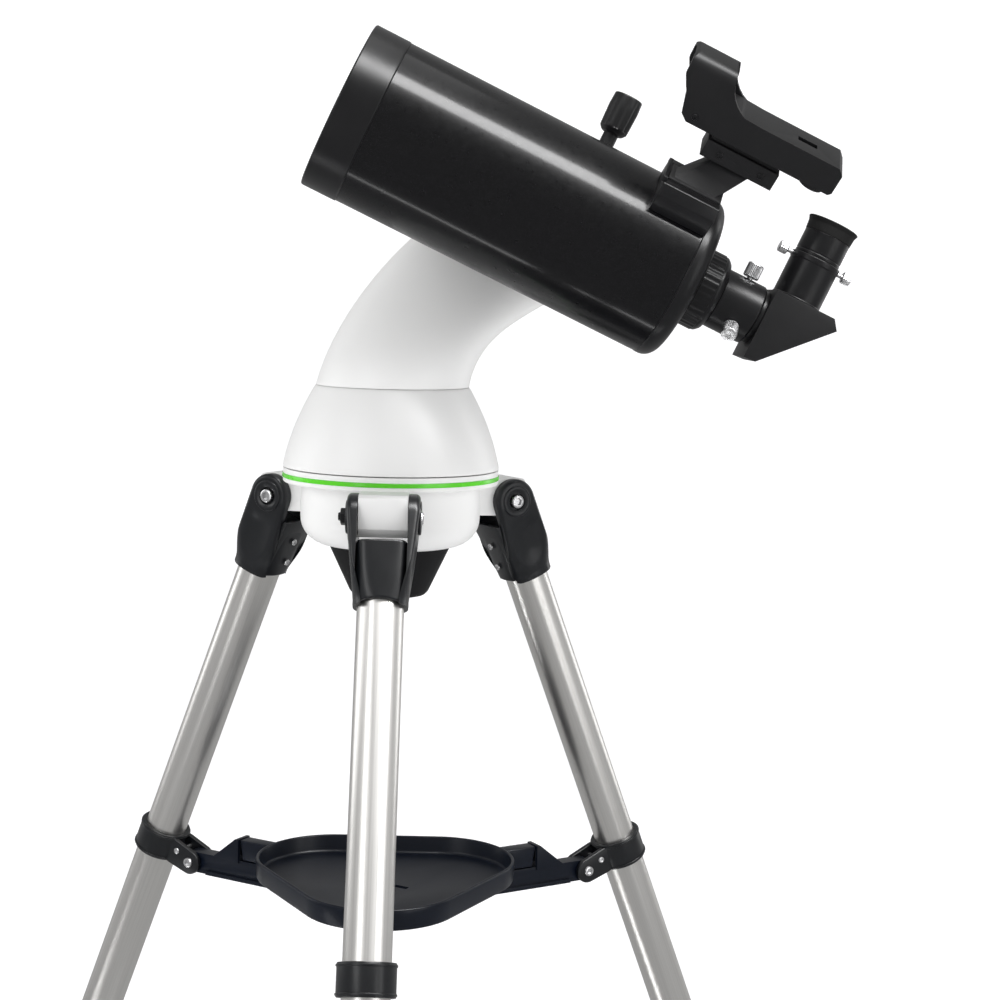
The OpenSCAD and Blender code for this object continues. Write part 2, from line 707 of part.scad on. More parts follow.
module back_thumbscrews() {
    color(steel) at_tube() for (clock = [0, 130]) rotate([clock, 0, 0])
        translate([back_start + 16.5, 0, barrel_d / 2 + 0.2]) thumbscrew(2, 7, 5.6, 10.2);
}

// ---------------------------------------------------------------- finder
finder_floor = 107.6;
finder_top = 127;
finder_half = 16;

module finder_bracket() {
    color([0.12, 0.12, 0.12]) union() {
        // foot in the shoe's channel
        at_shoe() translate([shoe_from + 2, 0, 0]) rotate([90, 0, 90]) linear_extrude(height = 38)
            polygon([[-10.9, 66.1], [10.9, 66.1], [7.9, 75.1], [-7.9, 75.1]]);
        hull() {
            at_shoe() translate([shoe_from + 5, -5, 73]) cube([30, 10, 2]);
            at_finder() translate([238, -6, 91]) cube([24, 12, 2]);
        }
        at_finder() difference() {
            union() {
                translate([224, -13, 91]) cube([52, 26, 12]);
                translate([226, -9, 102]) cube([48, 18, finder_floor - 102]);
            }
            for (x = [236, 266]) translate([x, -14, 96.5]) rotate([-90, 0, 0]) cylinder(r = 2.4, h = 3);
        }
    }
}

module finder_body() {
    // side outline without the hood's window
    neck = [for (a = [180 : 10 : 250]) [246 + 26 * cos(a), 152 + 26 * sin(a)]];
    side = concat([[311, finder_floor + 2], [309, finder_floor], [205, finder_floor], [200, finder_floor + 4],
        [196, finder_floor + 18], [194, finder_floor + 21], [190, 136], [189.5, 147], [192, 150.5],
        [219, 150.5], [220, 149]], neck, [[250, finder_top], [307, finder_top], [311, finder_top - 4]]);
    color([0.13, 0.13, 0.13]) at_finder() difference() {
        intersection() {
            slab(side, 2 * finder_half);
            translate([180, 0, 0]) rotate([90, 0, 90]) linear_extrude(height = 140)
                polygon(concat([[-finder_half, finder_floor], [finder_half, finder_floor]],
                    [for (a = [0 : 15 : 90]) [7 + 9 * cos(a), 141.5 + 9 * sin(a)]],
                    [for (a = [90 : 15 : 180]) [-7 + 9 * cos(a), 141.5 + 9 * sin(a)]]));
        }
        // window through the hood
        translate([180, 0, 0]) rotate([90, 0, 90]) linear_extrude(height = 75)
            polygon(concat([[-12.5, 129], [12.5, 129]],
                [for (a = [0 : 15 : 90]) [5.5 + 7 * cos(a), 140.5 + 7 * sin(a)]],
                [for (a = [90 : 15 : 180]) [-5.5 + 7 * cos(a), 140.5 + 7 * sin(a)]]));
        // battery and lamp space inside, and the knob's seat
        translate([262, -11, finder_floor + 3]) cube([40, 22, 13]);
        translate([299, 0, finder_floor - 1]) cylinder(r = 2 + running, h = 6);
        translate([276, -3, finder_top - 4]) cube([14, 6, 5]);
    }
}

module finder_knob() {
    color(black) at_finder() translate([299, 0, 0]) {
        translate([0, 0, finder_floor - 0.2]) cylinder(r = 2, h = 3);
        translate([0, 0, finder_floor - 5.4]) fluted_grip(9, 5.1, 20, 0.7);
    }
}

// ---------------------------------------------------------------- diagonal and eyepiece
prism_u = back_end + 3.4;  // front face of the prism housing
ocular_u = prism_u + 18.8; // eyepiece axis, from the tube's front
housing_top = 21.5;

module diagonal_barrel() {
    color(steel) at_tube() turned([[back_start + 3, 14.2], [back_start + 3, barrel_d / 2],
        [back_end + 0.2, barrel_d / 2], [back_end + 0.2, 19], [prism_u, 19], [prism_u, 14.2]]);
}

module diagonal_body() {
    color([0.16, 0.16, 0.17]) at_tube() difference() {
        slab([[prism_u, housing_top], [prism_u + 44.3, housing_top], [prism_u + 49.5, housing_top - 7],
              [prism_u + 8.7, -28.3], [prism_u, -28.9]], 40);
        slab([[prism_u + 4, housing_top - 4], [prism_u + 42, housing_top - 4], [prism_u + 4, -20]], 33);
        translate([prism_u - 1, 0, 0]) rotate([0, 90, 0]) cylinder(r = 14.2, h = 8);
        translate([ocular_u, 0, housing_top - 6]) cylinder(r = 14.2, h = 8);
    }
}

module diagonal_prism() {
    color([0.75, 0.85, 0.9, 0.5]) at_tube()
        slab([[prism_u + 4.2, housing_top - 4.2], [prism_u + 41, housing_top - 4.2], [prism_u + 4.2, -19]], 32);
}

holder_top = 53;

module eyepiece_holder() {
    color(black) at_tube() translate([ocular_u, 0, 0]) difference() {
        rotate_extrude() polygon([[barrel_d / 2 + running, housing_top], [17.2, housing_top],
            [17.2, holder_top - 4], [17.6, holder_top - 3.6], [17.6, holder_top - 0.4],
            [17.2, holder_top], [barrel_d / 2 + running, holder_top]]);
        for (side = [0, 180]) rotate([0, 0, side]) translate([10, 0, holder_top - 2.2]) rotate([0, 90, 0])
            cylinder(r = 1.5, h = 10);
    }
}

module holder_thumbscrews() {
    color(steel) at_tube() for (side = [0, 180])
        translate([ocular_u, 0, holder_top - 2.2]) rotate([0, 0, side])
            translate([barrel_d / 2 + 0.2, 0, 0]) rotate([0, 90, 0]) thumbscrew(1.5, 6, 4, 6.6);
}

module eyepiece() {
    at_tube() translate([ocular_u, 0, 0]) {
        color(black) difference() {
            union() {
                translate([0, 0, 27]) cylinder(r = barrel_d / 2, h = holder_top - 26.9);
                translate([0, 0, holder_top + 0.2]) cylinder(r = 16.2, h = 16.8);
            }
            translate([0, 0, 26]) cylinder(r = 13.6, h = 26);
            translate([0, 0, 50]) cylinder(r = 10, h = 25);
        }
        color([0.7, 0.85, 0.9, 0.4]) translate([0, 0, 56]) cylinder(r = 10, h = 8);
    }
}

module eyecup() {
    color([0.06, 0.06, 0.06]) at_tube() translate([ocular_u, 0, 0]) rotate_extrude()
        polygon([[11, holder_top + 17], [16.3, holder_top + 17], [16.6, holder_top + 20], [18.2, 79.4],
                 [17.2, 79.8], [15.2, holder_top + 21], [11, holder_top + 19.5]]);
}

base_bowl();
base_ring();
base_cone();
azimuth_spindle();
pivot_bolts();
tray();
spreader_hub();
bell_housing();
arm_shell();
drive_motors();
control_board();
altitude_shaft();
saddle();
saddle_knob();
tube_shell();
front_ring();
corrector_lens();
secondary_baffle();
rear_cell();
baffle_tube();
dovetail_bar();
finder_shoe();
visual_back();
back_thumbscrews();
primary_mirror();
focus_knob();
finder_bracket();
finder_body();
finder_knob();
diagonal_body();
diagonal_barrel();
diagonal_prism();
eyepiece_holder();
holder_thumbscrews();
eyepiece();
eyecup();
casting(0);  // casting_front
casting(1);  // casting_right
casting(2);  // casting_left
leg_tube(0);  // leg_tube_front
leg_tube(1);  // leg_tube_right
leg_tube(2);  // leg_tube_left
tray_clamp(0);  // tray_clamp_front
tray_clamp(1);  // tray_clamp_right
tray_clamp(2);  // tray_clamp_left
lock_collar(0);  // lock_collar_front
lock_collar(1);  // lock_collar_right
lock_collar(2);  // lock_collar_left
inner_leg(0);  // inner_leg_front
inner_leg(1);  // inner_leg_right
inner_leg(2);  // inner_leg_left
foot(0);  // foot_front
foot(1);  // foot_right
foot(2);  // foot_left
lock_knob(0);  // lock_knob_front
lock_knob(1);  // lock_knob_right
lock_knob(2);  // lock_knob_left
tray_arm(0);  // tray_arm_front
tray_arm(1);  // tray_arm_right
tray_arm(2);  // tray_arm_left
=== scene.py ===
"""Looks of the small telescope on its motorised single-arm mount and folding tripod.

Pieces are drawn in millimetres in the part's own frames (head, leg, tube, finder) and placed by matrices
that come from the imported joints.
"""
import json
import math

import bmesh
import bpy
from mathutils import Matrix, Vector


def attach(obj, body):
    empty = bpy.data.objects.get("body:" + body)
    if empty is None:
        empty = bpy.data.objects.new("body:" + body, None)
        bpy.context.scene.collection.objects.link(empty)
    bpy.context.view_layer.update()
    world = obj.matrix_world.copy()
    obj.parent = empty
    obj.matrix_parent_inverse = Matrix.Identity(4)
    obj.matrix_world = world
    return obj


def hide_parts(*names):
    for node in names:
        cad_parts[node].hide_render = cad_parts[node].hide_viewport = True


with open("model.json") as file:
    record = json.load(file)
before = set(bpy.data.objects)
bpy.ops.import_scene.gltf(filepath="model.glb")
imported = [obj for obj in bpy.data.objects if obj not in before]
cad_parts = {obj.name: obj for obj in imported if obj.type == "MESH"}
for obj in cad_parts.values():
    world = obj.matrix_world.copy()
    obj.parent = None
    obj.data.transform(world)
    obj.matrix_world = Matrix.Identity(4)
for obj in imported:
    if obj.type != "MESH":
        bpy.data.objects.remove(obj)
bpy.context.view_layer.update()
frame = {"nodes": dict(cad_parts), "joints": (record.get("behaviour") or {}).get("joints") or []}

MM = 0.001
LEGS = ("front", "right", "left")
JOINTS = {j["name"]: j for j in frame["joints"]}
TAU = 2 * math.pi


# ---------------------------------------------------------------- frames
def placed(origin, x, z):
    """Matrix from a frame's millimetres to the row frame, from its origin, X and Z."""
    x, z = Vector(x).normalized(), Vector(z).normalized()
    y = z.cross(x)
    m = Matrix((x, y, z)).transposed().to_4x4()
    m.translation = Vector(origin)
    return m @ Matrix.Scale(MM, 4)


def joint_point(name):
    return Vector(JOINTS[name]["pos_m"])


def joint_axis(name):
    return Vector(JOINTS[name]["axis"])


def turn_x(degrees):
    return Matrix.Rotation(math.radians(degrees), 4, "X")


ALT_U = 170            # front face of the tube to the altitude axis
FINDER_CLOCK = 30      # degrees that the finder leans over, about the tube
SHOE_CLOCK = 42        # degrees of its shoe
HEAD = placed(joint_point("azimuth_turn"), (1, 0, 0), (0, 0, 1))
TUBE_AXIS = joint_axis("tube_slide")
TUBE_UP = joint_axis("eyepiece_slide")
TUBE = placed(joint_point("altitude_tilt") - TUBE_AXIS * ALT_U * MM, TUBE_AXIS, TUBE_UP)
SHOE = TUBE @ turn_x(SHOE_CLOCK)
FINDER = TUBE @ turn_x(FINDER_CLOCK)
LEG = {n: placed(joint_point("leg_fold_" + n), joint_axis("leg_lock_" + n), -joint_axis("leg_extend_" + n))
       for n in LEGS}
OUTWARD = {n: joint_axis("leg_fold_" + n).cross(Vector((0, 0, 1))) for n in LEGS}
SPOKE = {n: placed(joint_point("azimuth_turn"), OUTWARD[n], (0, 0, 1)) for n in LEGS}
ALONG_X = Matrix.Rotation(math.radians(90), 4, "Y")    # Z of a turned piece to X
ALONG_Y = Matrix.Rotation(math.radians(-90), 4, "X")   # Z of a turned piece to Y


def shift(x, y, z):
    return Matrix.Translation((x, y, z))


# ---------------------------------------------------------------- materials
NOISE_LOW, NOISE_HIGH = 0.3, 0.7         # where a noise texture holds most of its values
STREAK_WIDE, STREAK_LONG = 1 / 1100, 1 / 6    # metres, of a streak in brushed steel


def new_material(name, color, roughness, metallic=0.0, **sockets):
    m = bpy.data.materials.new(name)
    m.use_nodes = True
    shader = m.node_tree.nodes["Principled BSDF"]
    shader.inputs["Base Color"].default_value = (*color, 1)
    shader.inputs["Roughness"].default_value = roughness
    shader.inputs["Metallic"].default_value = metallic
    for key, value in sockets.items():
        shader.inputs[key.replace("_", " ")].default_value = value
    return m


def add(m, kind, **settings):
    node = m.node_tree.nodes.new(kind)
    for key, value in settings.items():
        if key in node.inputs:
            node.inputs[key].default_value = value
        else:
            setattr(node, key, value)
    return node


def link(m, out_node, out, in_node, inn):
    m.node_tree.links.new(out_node.outputs[out], in_node.inputs[inn])


def noise_field(m, scale, detail=4.0, stretch=(1, 1, 1), rotation=(0, 0, 0)):
    """Noise in the piece's own metres; its cells are stretch metres wide along the rotated axes."""
    place = add(m, "ShaderNodeTexCoord")
    mapping = add(m, "ShaderNodeMapping", vector_type="TEXTURE")
    mapping.inputs["Scale"].default_value = stretch
    mapping.inputs["Rotation"].default_value = rotation
    noise = add(m, "ShaderNodeTexNoise", Scale=scale, Detail=detail, Roughness=0.55)
    link(m, place, "Object", mapping, "Vector")
    link(m, mapping, "Vector", noise, "Vector")
    return noise


def vary_roughness(m, noise, low, high):
    shader = m.node_tree.nodes["Principled BSDF"]
    spread = add(m, "ShaderNodeMapRange")
    spread.inputs["From Min"].default_value = NOISE_LOW
    spread.inputs["From Max"].default_value = NOISE_HIGH
    spread.inputs["To Min"].default_value = low
    spread.inputs["To Max"].default_value = high
    link(m, noise, "Fac", spread, "Value")
    link(m, spread, "Result", shader, "Roughness")


def vary_color(m, noise, low, high):
    shader = m.node_tree.nodes["Principled BSDF"]
    ramp = add(m, "ShaderNodeValToRGB")
    ramp.color_ramp.elements[0].position = NOISE_LOW
    ramp.color_ramp.elements[0].color = (*low, 1)
    ramp.color_ramp.elements[1].position = NOISE_HIGH
    ramp.color_ramp.elements[1].color = (*high, 1)
    link(m, noise, "Fac", ramp, "Fac")
    link(m, ramp, "Color", shader, "Base Color")


def bump(m, noise, strength, depth_mm):
    shader = m.node_tree.nodes["Principled BSDF"]
    node = add(m, "ShaderNodeBump", Strength=strength, Distance=depth_mm * MM)
    link(m, noise, "Fac", node, "Height")
    link(m, node, "Normal", shader, "Normal")


def scaled(color, k):
    """Colour made darker or lighter."""
    return tuple(c * k for c in color)


def moulded(name, color, low, high, grain_mm=0.5, strength=0.25, depth_mm=0.05, tone=0.1, **sockets):
    """Moulded plastic: fine even grain in the surface and a slow change of gloss and tone."""
    m = new_material(name, color, (low + high) / 2, **sockets)
    bump(m, noise_field(m, 1 / (grain_mm * MM), 3), strength, depth_mm)
    slow = noise_field(m, 18, 5)
    vary_roughness(m, slow, low, high)
    vary_color(m, slow, scaled(color, 1 - tone), scaled(color, 1 + tone))
    return m


def brushed(name, color, axis):
    """Drawn steel tube: streaks along its axis."""
    low, high = 0.30, 0.37
    m = new_material(name, color, low, 1.0)
    rotation = Vector((0, 0, 1)).rotation_difference(Vector(axis)).to_euler("XYZ")
    streak = noise_field(m, 1.0, 4, (STREAK_WIDE, STREAK_WIDE, STREAK_LONG), rotation)
    vary_roughness(m, streak, low, high)
    vary_color(m, streak, scaled(color, 0.90), color)
    bump(m, streak, 0.06, 0.01)
    return m


def turned_metal(name, color, low, high):
    """Machined or plated metal with very fine marks."""
    m = new_material(name, color, low, 1.0)
    fine = noise_field(m, 900, 4)
    vary_roughness(m, fine, low, high)
    bump(m, fine, 0.08, 0.02)
    return m


def speckled_paint():
    """Gloss black paint with fine silver flakes under a clear coat."""
    base = (0.0030, 0.0030, 0.0038)
    m = new_material("tube_paint", base, 0.32, 0.0, Coat_Weight=0.26, Coat_Roughness=0.13,
                     Specular_IOR_Level=0.10)
    place = add(m, "ShaderNodeTexCoord")
    cells = add(m, "ShaderNodeTexVoronoi", Scale=2600.0)
    link(m, place, "Object", cells, "Vector")
    spark = add(m, "ShaderNodeValToRGB")
    spark.color_ramp.elements[0].position = 0.0
    spark.color_ramp.elements[0].color = (0.10, 0.10, 0.105, 1)
    spark.color_ramp.elements[1].position = 0.22
    spark.color_ramp.elements[1].color = (*base, 1)
    link(m, cells, "Distance", spark, "Fac")
    link(m, spark, "Color", m.node_tree.nodes["Principled BSDF"], "Base Color")
    vary_roughness(m, noise_field(m, 240, 3), 0.27, 0.36)
    return m


def glass(name, tint, alpha):
    """Coated glass, seen through in part."""
    m = new_material(name, tint, 0.03, 0.0, Alpha=alpha, Coat_Weight=0.6)
    vary_roughness(m, noise_field(m, 60, 2), 0.015, 0.05)
    return m


# colour, roughness from and to, grain in mm, its strength, its depth in mm, change of tone
white_shell = moulded("white_shell", (0.80, 0.80, 0.79), 0.36, 0.38, 0.7, 0.06, 0.02, 0.01,
                      Specular_IOR_Level=0.4)
green_trim = moulded("green_trim", (0.09, 0.60, 0.010), 0.22, 0.3, 0.8, 0.05, 0.02)
fitting_plastic = moulded("fitting_plastic", (0.0055, 0.0065, 0.0085), 0.26, 0.36, 0.6, 0.22, 0.05,
                          Specular_IOR_Level=0.40)
tray_plastic = moulded("tray_plastic", (0.0035, 0.0060, 0.0130), 0.30, 0.36, 0.6, 0.06, 0.02,
                       Specular_IOR_Level=0.22)
matt_black = moulded("matt_black", (0.007, 0.007, 0.008), 0.5, 0.62, 0.5, 0.3, 0.05,
                     Specular_IOR_Level=0.18)
satin_ring = moulded("satin_ring", (0.007, 0.007, 0.008), 0.28, 0.38, 0.35, 0.25, 0.03,
                     Specular_IOR_Level=0.25)
anodised = moulded("anodised_black", (0.007, 0.007, 0.008), 0.27, 0.36, 0.3, 0.12, 0.02,
                   Specular_IOR_Level=0.25)
knob_plastic = moulded("knob_plastic", (0.011, 0.011, 0.012), 0.36, 0.48, 0.5, 0.35, 0.06,
                       Specular_IOR_Level=0.28)
finder_plastic = moulded("finder_plastic", (0.009, 0.009, 0.010), 0.38, 0.5, 0.45, 0.35, 0.06,
                         Specular_IOR_Level=0.25)
diagonal_plastic = moulded("diagonal_plastic", (0.009, 0.009, 0.010), 0.42, 0.52, 0.45, 0.35, 0.06,
                           Specular_IOR_Level=0.25)
foot_rubber = moulded("foot_rubber", (0.007, 0.007, 0.007), 0.6, 0.75, 0.9, 0.4, 0.1,
                      Specular_IOR_Level=0.2)
bright_steel = turned_metal("bright_steel", (0.66, 0.66, 0.67), 0.22, 0.34)
barrel_chrome = turned_metal("barrel_chrome", (0.75, 0.75, 0.76), 0.07, 0.13)
mirror_coat = turned_metal("mirror_coat", (0.88, 0.89, 0.90), 0.02, 0.04)
tube_paint = speckled_paint()
lens_glass = glass("lens_glass", (0.16, 0.24, 0.24), 0.35)
steel_along = {n: brushed("brushed_" + n, (0.74, 0.73, 0.71), joint_axis("leg_extend_" + n)) for n in LEGS}


# ---------------------------------------------------------------- mesh tools
def linked(name, mesh):
    """New object in the scene."""
    ob = bpy.data.objects.new(name, mesh)
    bpy.context.scene.collection.objects.link(ob)
    return ob


def finish_piece(name, bm, place, body, material, nodes=(), sharp=38):
    """Turns a bmesh drawn in a frame's millimetres into a piece that rides on a body."""
    bm.transform(place)
    bmesh.ops.recalc_face_normals(bm, faces=bm.faces)
    mesh = bpy.data.meshes.new(name)
    bm.to_mesh(mesh)
    bm.free()
    mesh.materials.append(material)
    mesh.polygons.foreach_set("use_smooth", [True] * len(mesh.polygons))
    mesh.set_sharp_from_angle(angle=math.radians(sharp))
    ob = linked(name, mesh)
    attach(ob, body)
    if nodes:
        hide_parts(*nodes)


def soften(points, radius, steps=4, closed=True):
    """Rounds the corners of an outline."""
    out = []
    n = len(points)
    for i, p in enumerate(points):
        p = Vector(p)
        if not closed and i in (0, n - 1):
            out.append(p)
            continue
        a, b = Vector(points[i - 1]), Vector(points[(i + 1) % n])
        da, db = (a - p), (b - p)
        r = min(radius, 0.45 * da.length, 0.45 * db.length)
        if da.length < 1e-6 or db.length < 1e-6 or abs(da.angle(db) - math.pi) < 0.1:
            out.append(p)
            continue
        start, end = p + da.normalized() * r, p + db.normalized() * r
        for k in range(steps + 1):
            t = k / steps
            out.append(start * (1 - t) ** 2 + p * 2 * t * (1 - t) + end * t * t)
    return [tuple(q) for q in out]


def skin(bm, rings, closed_loop=False, cap=True):
    """Faces between neighbouring rings of vertices. A ring of one vertex is a point."""
    pairs = list(zip(rings, rings[1:]))
    if closed_loop:
        pairs.append((rings[-1], rings[0]))
    for low, high in pairs:
        n = max(len(low), len(high))
        for k in range(n):
            m = (k + 1) % n
            corners = [low[k % len(low)], low[m % len(low)], high[m % len(high)], high[k % len(high)]]
            corners = list(dict.fromkeys(corners))
            if len(corners) > 2:
                bm.faces.new(corners)
    if cap and not closed_loop:
        for ring in (rings[0], rings[-1]):
            if len(ring) > 2:
                bm.faces.new(ring)


def spin(profile, segments=96, shape=None, loop=False):
    """Body turned about Z from (radius, height) points.

    shape(angle, radius, height) may change the radius.
    """
    bm = bmesh.new()
    rings = []
    for r, z in profile:
        if r < 1e-6:
            rings.append([bm.verts.new((0, 0, z))])
            continue
        ring = []
        for k in range(segments):
            a = TAU * k / segments
            reach = shape(a, r, z) if shape else r
            ring.append(bm.verts.new((reach * math.cos(a), reach * math.sin(a), z)))
        rings.append(ring)
    skin(bm, rings, loop)
    return bm


def bevel_sharp(bm, width, segments=2, angle=28):
    """Rounds the edges that are sharper than an angle."""
    bmesh.ops.recalc_face_normals(bm, faces=bm.faces)
    edges = [e for e in bm.edges if len(e.link_faces) == 2 and e.calc_face_angle(0) > math.radians(angle)]
    bmesh.ops.bevel(bm, geom=edges, offset=width, segments=segments, profile=0.5, affect="EDGES",
                    clamp_overlap=True)
    return bm


def plate(outline, low, high, bevel=0.0, segments=2, plane="xz"):
    """Outline extruded from low to high across its plane, with its rims bevelled."""
    bm = bmesh.new()
    orders = {"xz": lambda a, b, c: (a, c, b), "xy": lambda a, b, c: (a, b, c),
              "yz": lambda a, b, c: (c, a, b)}
    at = orders[plane]
    rings = [[bm.verts.new(at(a, b, c)) for a, b in outline] for c in (low, high)]
    skin(bm, rings)
    if bevel:
        bevel_sharp(bm, bevel, segments)
    return bm


def merged(*parts):
    """One bmesh from several, each with an optional matrix."""
    out = bmesh.new()
    for part in parts:
        bm, matrix = part if isinstance(part, tuple) else (part, None)
        if matrix is not None:
            bm.transform(matrix)
        mesh = bpy.data.meshes.new("part")
        bm.to_mesh(mesh)
        bm.free()
        out.from_mesh(mesh)
        bpy.data.meshes.remove(mesh)
    return out


def from_node(node, place, bevel=0.6, segments=2, angle=28):
    """A CAD node's own shape in a frame's millimetres, with its sharp edges rounded."""
    bm = bmesh.new()
    bm.from_mesh(frame["nodes"][node].data)
    bm.transform(place.inverted())
    bmesh.ops.remove_doubles(bm, verts=bm.verts, dist=0.002)
    bmesh.ops.dissolve_limit(bm, angle_limit=math.radians(0.4), verts=bm.verts, edges=bm.edges)
    if bevel:
        bevel_sharp(bm, bevel, segments, angle)
    return bm


def worked(bm, *modifiers):
    """The bmesh after Blender modifiers, given as (type, settings)."""
    mesh = bpy.data.meshes.new("work")
    bm.to_mesh(mesh)
    bm.free()
    ob = linked("work", mesh)
    for kind, settings in modifiers:
        mod = ob.modifiers.new(kind, kind)
        for key, value in settings.items():
            setattr(mod, key, value)
    bpy.context.view_layer.update()
    result = ob.evaluated_get(bpy.context.evaluated_depsgraph_get())
    out = bmesh.new()
    out.from_mesh(result.to_mesh())
    result.to_mesh_clear()
    bpy.data.objects.remove(ob)
    bpy.data.meshes.remove(mesh)
    return out


def cut(bm, *tools):
    """The bmesh with other bmeshes taken out of it."""
    for tool in tools:
        mesh = bpy.data.meshes.new("tool")
        tool.to_mesh(mesh)
        tool.free()
        ob = linked("tool", mesh)
        bm = worked(bm, ("BOOLEAN", {"operation": "DIFFERENCE", "solver": "EXACT", "object": ob}))
        bpy.data.objects.remove(ob)
        bpy.data.meshes.remove(mesh)
    return bm


def fluted(count, depth, low, high):
    """Radius change for spin(): flutes between two heights."""
    def shape(angle, r, z):
        if low <= z <= high:
            return r * (1 - depth * (0.5 + 0.5 * math.cos(count * angle)) ** 2)
        return r
    return shape


def socket_screw(head_r, head_h, socket=0.5):
    """Button head with a hexagonal socket, standing on Z = 0."""
    key = head_r * socket

    def shape(angle, r, z):
        if abs(r - key) < 1e-6:
            return r / math.cos((angle % (TAU / 6)) - TAU / 12)
        return r
    profile = [(0, 0), (head_r, 0), (head_r, head_h * 0.5), (head_r * 0.9, head_h * 0.85),
               (head_r * 0.7, head_h), (key * 1.25, head_h), (key, head_h), (key, head_h * 0.35),
               (0, head_h * 0.35)]
    return spin(profile, 48, shape)


# ---------------------------------------------------------------- mount base
RING_R = 78.3
RING_HALF = 1.6
LUG_HALF = 33.6 / 2
CHEEK_T = 7.6
NECK_Z = 65.0
ALT_X, ALT_Z = 112.8, 183.1    # altitude axis from the ring's centre


def base_pieces():
    bowl = from_node("base_bowl", HEAD, 1.3, 3, 34)
    finish_piece("bowl", bowl, HEAD, "base", white_shell, ["base_bowl"])
    inner = RING_R - 4
    band = soften([(inner, -RING_HALF), (RING_R, -RING_HALF), (RING_R, RING_HALF), (inner, RING_HALF)], 0.5)
    finish_piece("trim_ring", spin(band, 180, loop=True), HEAD, "base", green_trim,
                 ["base_ring"])
    cone = soften([(12, -50), (43.5, -50), (43.5, -52), (28.5, -84), (26, -86.5), (5, -86.5), (5, -82),
                   (24, -82), (39, -54), (39, -53), (12, -53)], 1.0)
    ribs = [(plate([(27.5, -80), (41.5, -52), (41.5, -50.4), (20, -50.4), (20, -80)], -1.1, 1.1, 0.3),
             Matrix.Rotation(math.radians(a), 4, "Z")) for a in range(15, 360, 30)]
    body = merged(spin(cone, 96, loop=True), *ribs)
    finish_piece("under_cone", body, HEAD, "base", matt_black, ["base_cone"])


def hinge_pieces():
    """A bolt and a nut through each lug and its fork."""
    half_fork = LUG_HALF + CHEEK_T
    bolts, nuts = [], []
    for n in LEGS:
        at = LEG[n]
        to_head = HEAD.inverted() @ at
        bolt = merged(spin(soften([(0, -half_fork), (2.9, -half_fork), (2.9, half_fork), (0, half_fork)], 0.2,
                                  closed=False), 32),
                      (socket_screw(5.2, 3.0), shift(0, 0, half_fork - 0.4)))
        head_turn = ALONG_Y.inverted() if n == "right" else ALONG_Y
        bolts.append((bolt, to_head @ head_turn))
        nut = spin([(0, 0), (5.6, 0), (6, 0.4), (6, 4.0), (5.4, 4.6), (3.2, 4.6), (2.6, 6.2), (0, 6.4)], 6)
        nuts.append((nut, to_head @ head_turn.inverted() @ shift(0, 0, half_fork + 0.3)))
    finish_piece("hinge_bolts", merged(*bolts), HEAD, "base", bright_steel, ["pivot_bolts"])
    finish_piece("hinge_nuts", merged(*nuts), HEAD, "base", anodised, sharp=25)


# ---------------------------------------------------------------- turning head
BELL_FOOT = 5.9        # heights above the ring
BELL_TOP = 64.7
BELL_FLOOR = 58.4      # underside of its top
BELL_WALL = 3


def bell_radius(z):
    """Outer radius of the bell at a height above the ring."""
    rise = z - BELL_FOOT
    return RING_R - 0.1885 * rise - 0.003386 * rise * rise


def ease(t):
    """Smooth step from 0 to 1."""
    return t * t * (3 - 2 * t)


ARM_R = 55.2           # arm's radius at the neck
ARM_LEAN = -42.5       # degrees that its section turns by the top
ARM_BACK = 40          # how far back its middle moves


def arm_ring(t, sides):
    """Cross-section of the arm at t: a rounded section on a bent path, leaning as it rises."""
    risen = ease(max(t, 0))
    cx = ALT_X * (0.21 * t + 0.79 * t * t)
    cy = ARM_BACK * risen
    cz = NECK_Z + (ALT_Z - NECK_Z) * t
    lean = math.radians(ARM_LEAN * math.sin(math.radians(90 * t * t)))
    wide, deep = ARM_R - 4 * t, ARM_R - 21.2 * risen
    power = 2 / (2 + 0.3 * risen)
    points = []
    for k in range(sides):
        a = TAU * k / sides
        x = wide * math.copysign(abs(math.cos(a)) ** power, math.cos(a))
        y = deep * math.copysign(abs(math.sin(a)) ** power, math.sin(a))
        points.append((cx + x * math.cos(lean), cy + y, cz + x * math.sin(lean)))
    return points


def arm_piece():
    """Arm and round hub blended into one moulding."""
    loft = bmesh.new()
    steps, sides = 64, 96
    rings = [[loft.verts.new(p) for p in arm_ring(k / steps - 0.06, sides)] for k in range(steps + 1)]
    skin(loft, rings)
    hub = spin(soften([(0, 2), (51, 2), (51, 74), (0, 74)], 9, 8, closed=False), 128)
    hub.transform(shift(ALT_X, 0, ALT_Z) @ ALONG_Y)
    both = merged(loft, hub)
    blended = worked(both, ("REMESH", {"mode": "VOXEL", "voxel_size": 1.5}),
                     ("SMOOTH", {"factor": 0.6, "iterations": 14}))
    geom = blended.verts[:] + blended.edges[:] + blended.faces[:]
    bmesh.ops.bisect_plane(blended, geom=geom, plane_co=(0, 0, NECK_Z), plane_no=(0, 0, -1), clear_outer=True)
    rim = [e for e in blended.edges if e.is_boundary]
    bmesh.ops.holes_fill(blended, edges=rim)
    shaft_hole = spin([(0, 0), (11.5, 0), (11.5, 8), (0, 8)], 48)
    shaft_hole.transform(shift(ALT_X, 0, ALT_Z) @ ALONG_Y)
    return cut(blended, shaft_hole)


